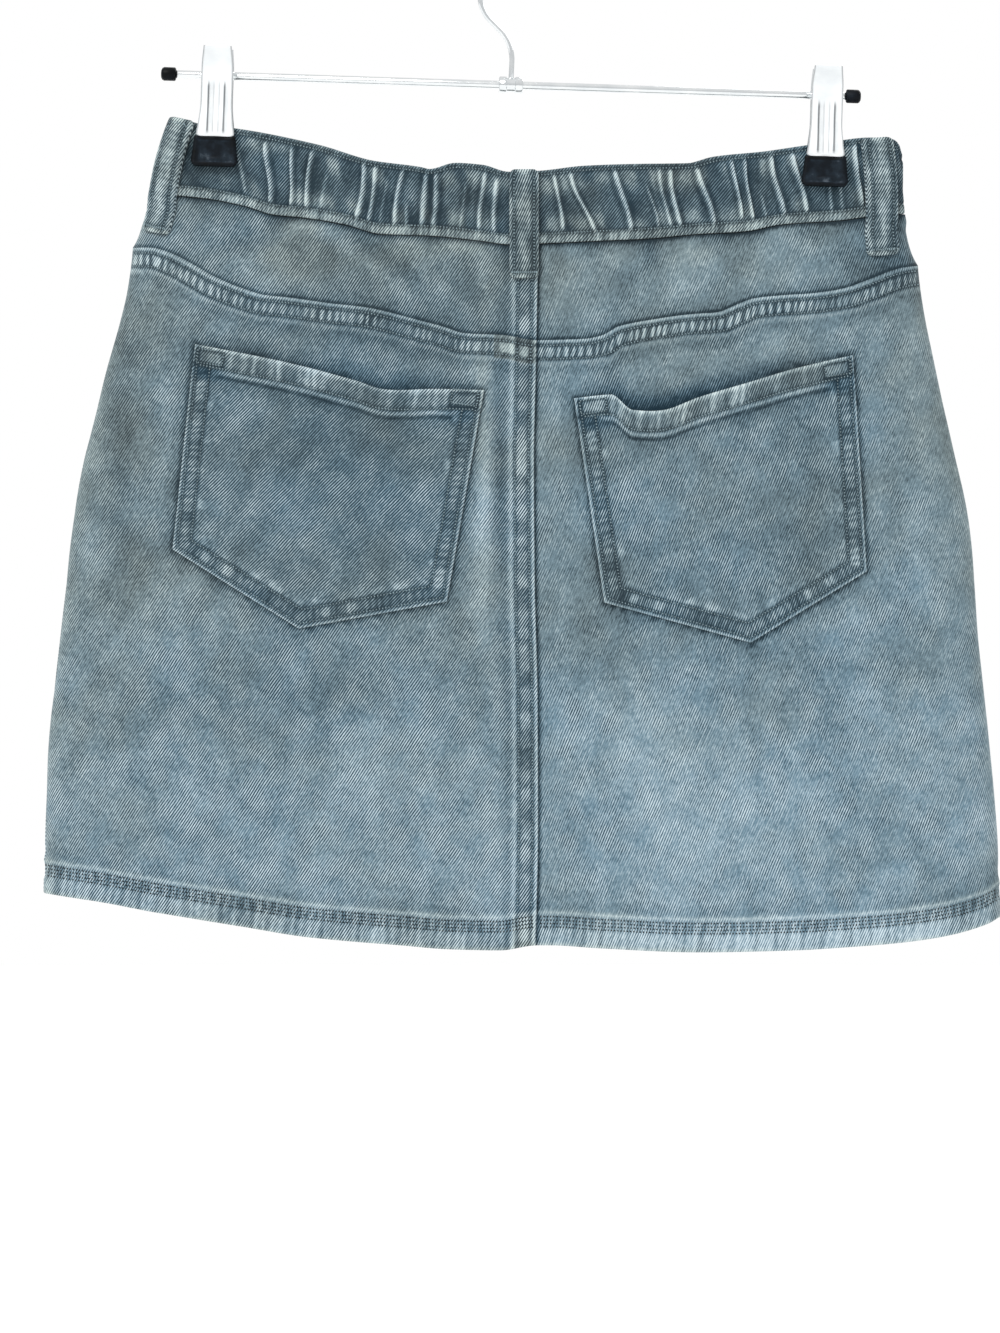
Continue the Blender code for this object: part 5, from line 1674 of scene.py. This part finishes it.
def bend_hook():
    # The inside of the bend must just touch the origin, so the wire's middle line lies a radius over it
    mesh = wire_mesh("hanger_hook_wire", hook_route(), WIRE_RADIUS, Matrix.Scale(MM, 4))
    return show("hanger_hook_wire", mesh, CHROME, "hanger_hook")


def turn_bar():
    rim = 0.5
    end = BAR_HALF
    turned("hanger_bar_rod",
           ((-end, 0.0), (-end, BAR_RADIUS - rim), (-end + rim, BAR_RADIUS), (end - rim, BAR_RADIUS),
            (end, BAR_RADIUS - rim), (end, 0.0)), False, CHROME, "chrome", "hanger_bar")
    half, radius = COLLAR_HALF, COLLAR_RADIUS
    turned("hanger_collar_ring",
           ((-half, BORE_RADIUS), (-half, radius - rim), (-half + rim, radius), (-2.4, radius),
            (-2.0, radius - 0.5), (2.0, radius - 0.5), (2.4, radius), (half - rim, radius),
            (half, radius - rim), (half, BORE_RADIUS)), True, CHROME, "chrome", "hanger_collar")
    for side, sign in SIDES.items():
        inner, outer = end - CAP_INSIDE, end + CAP_BEYOND
        profile = (
            (inner, BORE_RADIUS), (inner, CAP_RADIUS - 0.5), (inner + 0.5, CAP_RADIUS),
            (outer - 1.6, CAP_RADIUS), (outer - 0.7, CAP_RADIUS - 0.5), (outer - 0.15, CAP_RADIUS - 1.6),
            (outer, 0.0), (outer, 0.0),
        )
        bore = ((end + GAP, 0.0), (end + GAP, BORE_RADIUS))
        profile = [(sign * place, size) for place, size in (*profile[:-1], *bore)]
        turned(f"bar_end_{side}_cap", profile, True, RUBBER, "rubber", f"bar_end_{side}")


def press_jaw(side, face_name):
    """A pressed plate with two ribs along it, and the two ears that the bar runs through."""
    face, node = FACES[face_name], f"clip_{side}_jaw_{face_name}"
    up = np.concatenate([spaced(-41.0, -31.6, 1.6), spaced(-31.2, -29.8, 0.2), spaced(-29.0, 14.0, 1.0)])
    half = curve(JAW, up, 2)
    off = curve(JAW, up, 1)
    slope = np.gradient(off, up)
    size = np.sqrt(1 + slope**2)
    share = np.concatenate([[-1.0, -0.985, -0.95], spaced(-0.9, 0.9, 0.05), [0.95, 0.985, 1.0]])
    beside = share[None, :] * half[:, None]
    to_side = half[:, None] - np.abs(beside)
    to_end = np.minimum(up - up[0], up[-1] - up)[:, None]
    long = ease(up, -30.0, -28.0) * (1 - ease(up, -6.0, -2.0))
    ribs = 0.45 * long[:, None] * (1 - ease(np.abs(np.abs(beside) - 4.0), 0.6, 2.2))
    thin = rounded(np.minimum(to_side, to_end), PLATE, 0.2)

    def points(depth):
        away = off[:, None] + depth / size[:, None]
        rise = up[:, None] - depth * (slope / size)[:, None]
        return np.stack([beside + 0 * away, face * away, rise + 0 * beside], axis=-1) / MM

    grooves = bump(np.abs(beside), 4.0, 0.5) + 0.45 * bump(np.abs(beside), 1.4, 0.3)
    # The ribs' grooves and the plate's sides are painted dark as shade
    painted_shade = long[:, None] * grooves + 0.6 * bump(to_side, 0.3, 0.35) + 0 * to_end
    marks = {"painted_shade": np.minimum(painted_shade, 1.0), "satin": 1.0}
    mesh = wall(f"{node}_plate", points(ribs + thin), points(ribs - thin), marks)
    bm = bmesh.new()
    bm.from_mesh(mesh)
    for sign in (-1, 1):
        start, stop = sorted((sign * EAR_FROM[face], sign * (EAR_FROM[face] + PLATE)))
        near, far = sorted((face * EAR_NEAR, -face * EAR_FAR))
        made = bmesh.ops.create_cube(bm, size=1.0)
        middle = Vector((start + stop, near + far, 0.0)) / 2
        shape = Matrix.Translation(middle) @ Matrix.Diagonal((stop - start, far - near, 2 * EAR_HALF, 1.0))
        bmesh.ops.transform(bm, matrix=shape, verts=made["verts"])
        ends = {
            edge for vertex in made["verts"] for edge in vertex.link_edges
            if all(face * v.co.y < 0 for v in edge.verts) and abs(edge.verts[0].co.x - edge.verts[1].co.x) > 0.1
        }
        bmesh.ops.bevel(bm, geom=list(ends), offset=EAR_CORNER, segments=6, profile=0.5, affect="EDGES",
                        material=-1)
    bmesh.ops.transform(bm, matrix=bar_frame(CLIPS[side]), verts=bm.verts[:])
    bm.to_mesh(mesh)
    bm.free()
    mesh.shade_smooth()
    mesh.set_sharp_from_angle(angle=math.radians(40.0))
    return show(f"{node}_plate", mesh, CHROME, node)


def mould_pad(side, face_name):
    """A rubber boot with round lower corners, a raised rim, two round notches at its top and a small
    lug low on its face."""
    face, node = FACES[face_name], f"clip_{side}_pad_{face_name}"
    high = PAD_TOP - PAD_LOW
    down = edge_to_edge(high, 0.5) / high
    share = edge_to_edge(2.0, 0.05) - 1.0
    wide = lerp(PAD_TOP_WIDTH, PAD_LOW_WIDTH, down)[:, None] / 2
    beside = share[None, :] * wide
    corner = np.clip((np.abs(beside) - (PAD_LOW_WIDTH / 2 - PAD_CORNER)) / PAD_CORNER, 0.0, 1.0)
    low = PAD_LOW + PAD_CORNER * (1 - np.sqrt(1 - corner**2))
    up = lerp(PAD_TOP, low, down[:, None])
    edge = np.minimum(np.minimum(wide - np.abs(beside), PAD_TOP - up), up - low)
    edge = np.maximum(edge, 0.0)
    half = rounded(edge, PAD_THICK, 0.9)
    notch = 1 - ease(np.hypot((np.abs(beside) - 4.4) * 0.7, (PAD_TOP - up) * 1.0), 1.5, 2.1)
    lug = 1 - ease(np.hypot(beside * 0.8, up - PAD_LOW - 3.4), 0.9, 1.6)
    sunk = 0.5 * ease(edge, 1.7, 2.3) + 0.9 * notch - 0.55 * lug
    middle = PAD_NEAR + PAD_THICK / 2

    def points(depth):
        return np.stack([beside + 0 * depth, face * (middle + depth), up + 0 * depth], axis=-1) / MM

    # A painted highlight along the step inside the rim and painted shade in the notches; the face inside the rim and
    # the lug are paler
    face_worn = 0.7 * ease(edge, 1.9, 2.5) * (1 - notch)
    rim_step_highlight = 0.9 * bump(edge, 2.1, 0.3)
    worn = face_worn + rim_step_highlight + 0.5 * lug - 0.8 * notch
    mesh = wall(f"{node}_boot", points(half - sunk), points(-half), {"worn": worn})
    mesh.transform(bar_frame(CLIPS[side]))
    if signed_volume(mesh) < 0:
        mesh.flip_normals()
    return show(f"{node}_boot", mesh, RUBBER, node)


def coil_spring(side):
    """A torsion spring round the bar, with an arm up against each jaw's tab."""
    turns, last = 8, SPRING_HALF
    steps = np.linspace(0.0, 1.0, turns * 20 + 1)
    angle = 2 * math.pi * turns * steps
    coil = [
        (lerp(-last, last, t), -SPRING_COIL * math.cos(a), -SPRING_COIL * math.sin(a))
        for t, a in zip(steps, angle)
    ]
    start, end = coil[0], coil[-1]
    arm_back = [(start[0], -7.2, 12.0), (start[0], -3.3, 4.5)]
    arm_front = [(end[0], 3.3, 4.5), (end[0], 7.2, 12.0)]
    # The last half turn brings the coil round to the front jaw
    half_turn = [
        (end[0], -SPRING_COIL * math.cos(a), -SPRING_COIL * math.sin(a))
        for a in np.linspace(0.0, math.pi, 12)[1:]
    ]
    node = f"clip_{side}_spring"
    mesh = wire_mesh(f"{node}_coil", [*arm_back, *coil, *half_turn, *arm_front], SPRING_WIRE, bar_frame(CLIPS[side]))
    return show(f"{node}_coil", mesh, CHROME, node)


def light(name, strength, angle, source):
    """A soft sun that shines from a direction towards the skort."""
    sun = bpy.data.lights.new(name, "SUN")
    sun.energy = strength
    sun.angle = math.radians(angle)
    obj = bpy.data.objects.new(name, sun)
    bpy.context.scene.collection.objects.link(obj)
    obj.rotation_euler = Vector(source).to_track_quat("Z", "Y").to_euler()
    obj.location = Vector(source)


def set_stage():
    scene = bpy.context.scene
    bm = bmesh.new()
    bmesh.ops.create_circle(bm, cap_ends=True, segments=96, radius=14.0)
    bmesh.ops.translate(bm, vec=(0.0, 0.0, settings().floor_height), verts=bm.verts[:])
    mesh = bpy.data.meshes.new("floor")
    bm.to_mesh(mesh)
    bm.free()
    mesh.materials.append(material(FLOOR))
    floor = bpy.data.objects.new("floor", mesh)
    scene.collection.objects.link(floor)

    light("key_light", 1.7, 30.0, (-0.6, -1.0, 0.9))
    light("back_light", 1.0, 40.0, (0.7, 1.0, 0.8))

    world = scene.world or bpy.data.worlds.new("studio")
    scene.world = world
    world.use_nodes = True
    tree = world.node_tree
    tree.nodes.clear()
    way = add(tree, "ShaderNodeTexCoord").outputs["Generated"]
    split = add(tree, "ShaderNodeSeparateXYZ", {"Vector": way})
    sky = add(
        tree, "ShaderNodeValToRGB", {"Fac": split.outputs["Z"]},
        [(0.0, (0.62, 0.63, 0.64)), (1.0, (0.86, 0.86, 0.86))],
    )
    seen = add(tree, "ShaderNodeLightPath").outputs["Is Camera Ray"]
    colour = add(
        tree, "ShaderNodeMix", {0: seen, 6: sky.outputs[0], 7: (1.0, 1.0, 1.0, 1.0)},
        data_type="RGBA",
    )
    shade = add(tree, "ShaderNodeBackground", {"Color": colour.outputs[2], "Strength": 1.0})
    add(tree, "ShaderNodeOutputWorld", {"Surface": shade.outputs[0]})
    scene.view_settings.view_transform = "Standard"

    camera = bpy.data.cameras.new("camera")
    camera.lens = 162.0
    eye = bpy.data.objects.new("camera", camera)
    eye.location = (-0.008, -3.006, -0.3528)
    eye.rotation_euler = (math.pi / 2, 0.0, 0.0)
    scene.collection.objects.link(eye)
    scene.camera = eye


class SKORT_OT_waistbands(bpy.types.Operator):
    """Sew the gathered back waistband and the plain front one"""

    bl_idname = "skort.waistbands"
    bl_label = "Waistbands"

    def execute(self, context):
        sew_waistband(BACK, "back_waistband")
        sew_waistband(FRONT, "front_waistband")
        return {"FINISHED"}


class SKORT_OT_yokes(bpy.types.Operator):
    """Sew the two halves of the back yoke"""

    bl_idname = "skort.yokes"
    bl_label = "Yokes"

    def execute(self, context):
        top = np.concatenate([[GAP], spaced(1.0, 10.0, 1.0)])
        low = np.concatenate([spaced(5.0, 0.0, 0.7), spaced(-2.0, -LAP_UNDER, 3.0)])
        for name, side in SIDES.items():
            sew_body(f"back_yoke_{name}", BACK, side, BAND_SEAM, YOKE_SEAM, top, low, 1.4, 1.4)
        return {"FINISHED"}


class SKORT_OT_back_panels(bpy.types.Operator):
    """Sew the two back panels of the skirt"""

    bl_idname = "skort.back_panels"
    bl_label = "Back panels"

    def execute(self, context):
        for name, side in SIDES.items():
            sew_body(f"back_panel_{name}", BACK, side, YOKE_SEAM, HEM, seam_lines(14.5, 0.8),
                     seam_lines(22.0, 0.9)[::-1], 1.4, 2.6)
        return {"FINISHED"}


class SKORT_OT_front_panels(bpy.types.Operator):
    """Sew the two front panels of the skirt"""

    bl_idname = "skort.front_panels"
    bl_label = "Front panels"

    def execute(self, context):
        top = np.concatenate([[GAP], spaced(1.0, 10.0, 1.3)])
        for name, side in SIDES.items():
            sew_body(f"front_panel_{name}", FRONT, side, BAND_SEAM, HEM, top,
                     seam_lines(17.0, 1.1)[::-1], 2.8, 4.2)
        return {"FINISHED"}


class SKORT_OT_pockets(bpy.types.Operator):
    """Sew the two patch pockets"""

    bl_idname = "skort.pockets"
    bl_label = "Back pockets"

    def execute(self, context):
        for side in POCKETS:
            sew_pocket(side)
        return {"FINISHED"}


class SKORT_OT_belt_loops(bpy.types.Operator):
    """Sew the five belt loops"""

    bl_idname = "skort.belt_loops"
    bl_label = "Belt loops"

    def execute(self, context):
        for name in LOOPS:
            sew_loop(name)
        return {"FINISHED"}


class SKORT_OT_shorts(bpy.types.Operator):
    """Sew the knitted shorts inside"""

    bl_idname = "skort.shorts"
    bl_label = "Shorts"

    def execute(self, context):
        for face_name in FACES:
            for side_name in SIDES:
                sew_shorts(face_name, side_name)
        return {"FINISHED"}


class SKORT_OT_stitching(bpy.types.Operator):
    """Sew the rows of stitches"""

    bl_idname = "skort.stitching"
    bl_label = "Stitching"

    def execute(self, context):
        sew_band_stitches()
        sew_seam_stitches()
        sew_hem_stitches()
        sew_pocket_stitches()
        sew_loop_stitches()
        return {"FINISHED"}


class SKORT_OT_hanger(bpy.types.Operator):
    """Bend the hook and turn the bar, its collar and its end caps"""

    bl_idname = "skort.hanger"
    bl_label = "Hanger"

    def execute(self, context):
        bend_hook()
        turn_bar()
        return {"FINISHED"}


class SKORT_OT_clips(bpy.types.Operator):
    """Press the jaws, mould their pads and coil the springs of the two clips"""

    bl_idname = "skort.clips"
    bl_label = "Clips"

    def execute(self, context):
        for side in CLIPS:
            coil_spring(side)
            for face_name in FACES:
                press_jaw(side, face_name)
                mould_pad(side, face_name)
        return {"FINISHED"}


class SKORT_OT_stage(bpy.types.Operator):
    """Lay the floor, set the lights and place the camera"""

    bl_idname = "skort.stage"
    bl_label = "Stage"

    def execute(self, context):
        set_stage()
        return {"FINISHED"}


STEPS = (
    SKORT_OT_stage, SKORT_OT_waistbands, SKORT_OT_yokes, SKORT_OT_back_panels, SKORT_OT_front_panels,
    SKORT_OT_pockets, SKORT_OT_belt_loops, SKORT_OT_shorts, SKORT_OT_stitching, SKORT_OT_hanger,
    SKORT_OT_clips,
)


class SKORT_PT_steps(bpy.types.Panel):
    """Every step that makes the skort"""

    bl_idname = "SKORT_PT_steps"
    bl_label = "Denim skort"
    bl_space_type = "VIEW_3D"
    bl_region_type = "UI"
    bl_category = "Skort"

    def draw(self, context):
        column = self.layout.column()
        for name in SkortSettings.__annotations__:
            column.prop(context.scene.skort, name)
        for step in STEPS:
            column.operator(step.bl_idname)


CLASSES = (SkortSettings, *STEPS, SKORT_PT_steps)


def register():
    for made in CLASSES:
        bpy.utils.register_class(made)
    bpy.types.Scene.skort = PointerProperty(type=SkortSettings)


def unregister():
    del bpy.types.Scene.skort
    for made in reversed(CLASSES):
        bpy.utils.unregister_class(made)


def main():
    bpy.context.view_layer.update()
    register()
    for step in STEPS:
        group, name = step.bl_idname.split(".")
        getattr(getattr(bpy.ops, group), name)()


if __name__ == "__main__":
    main()
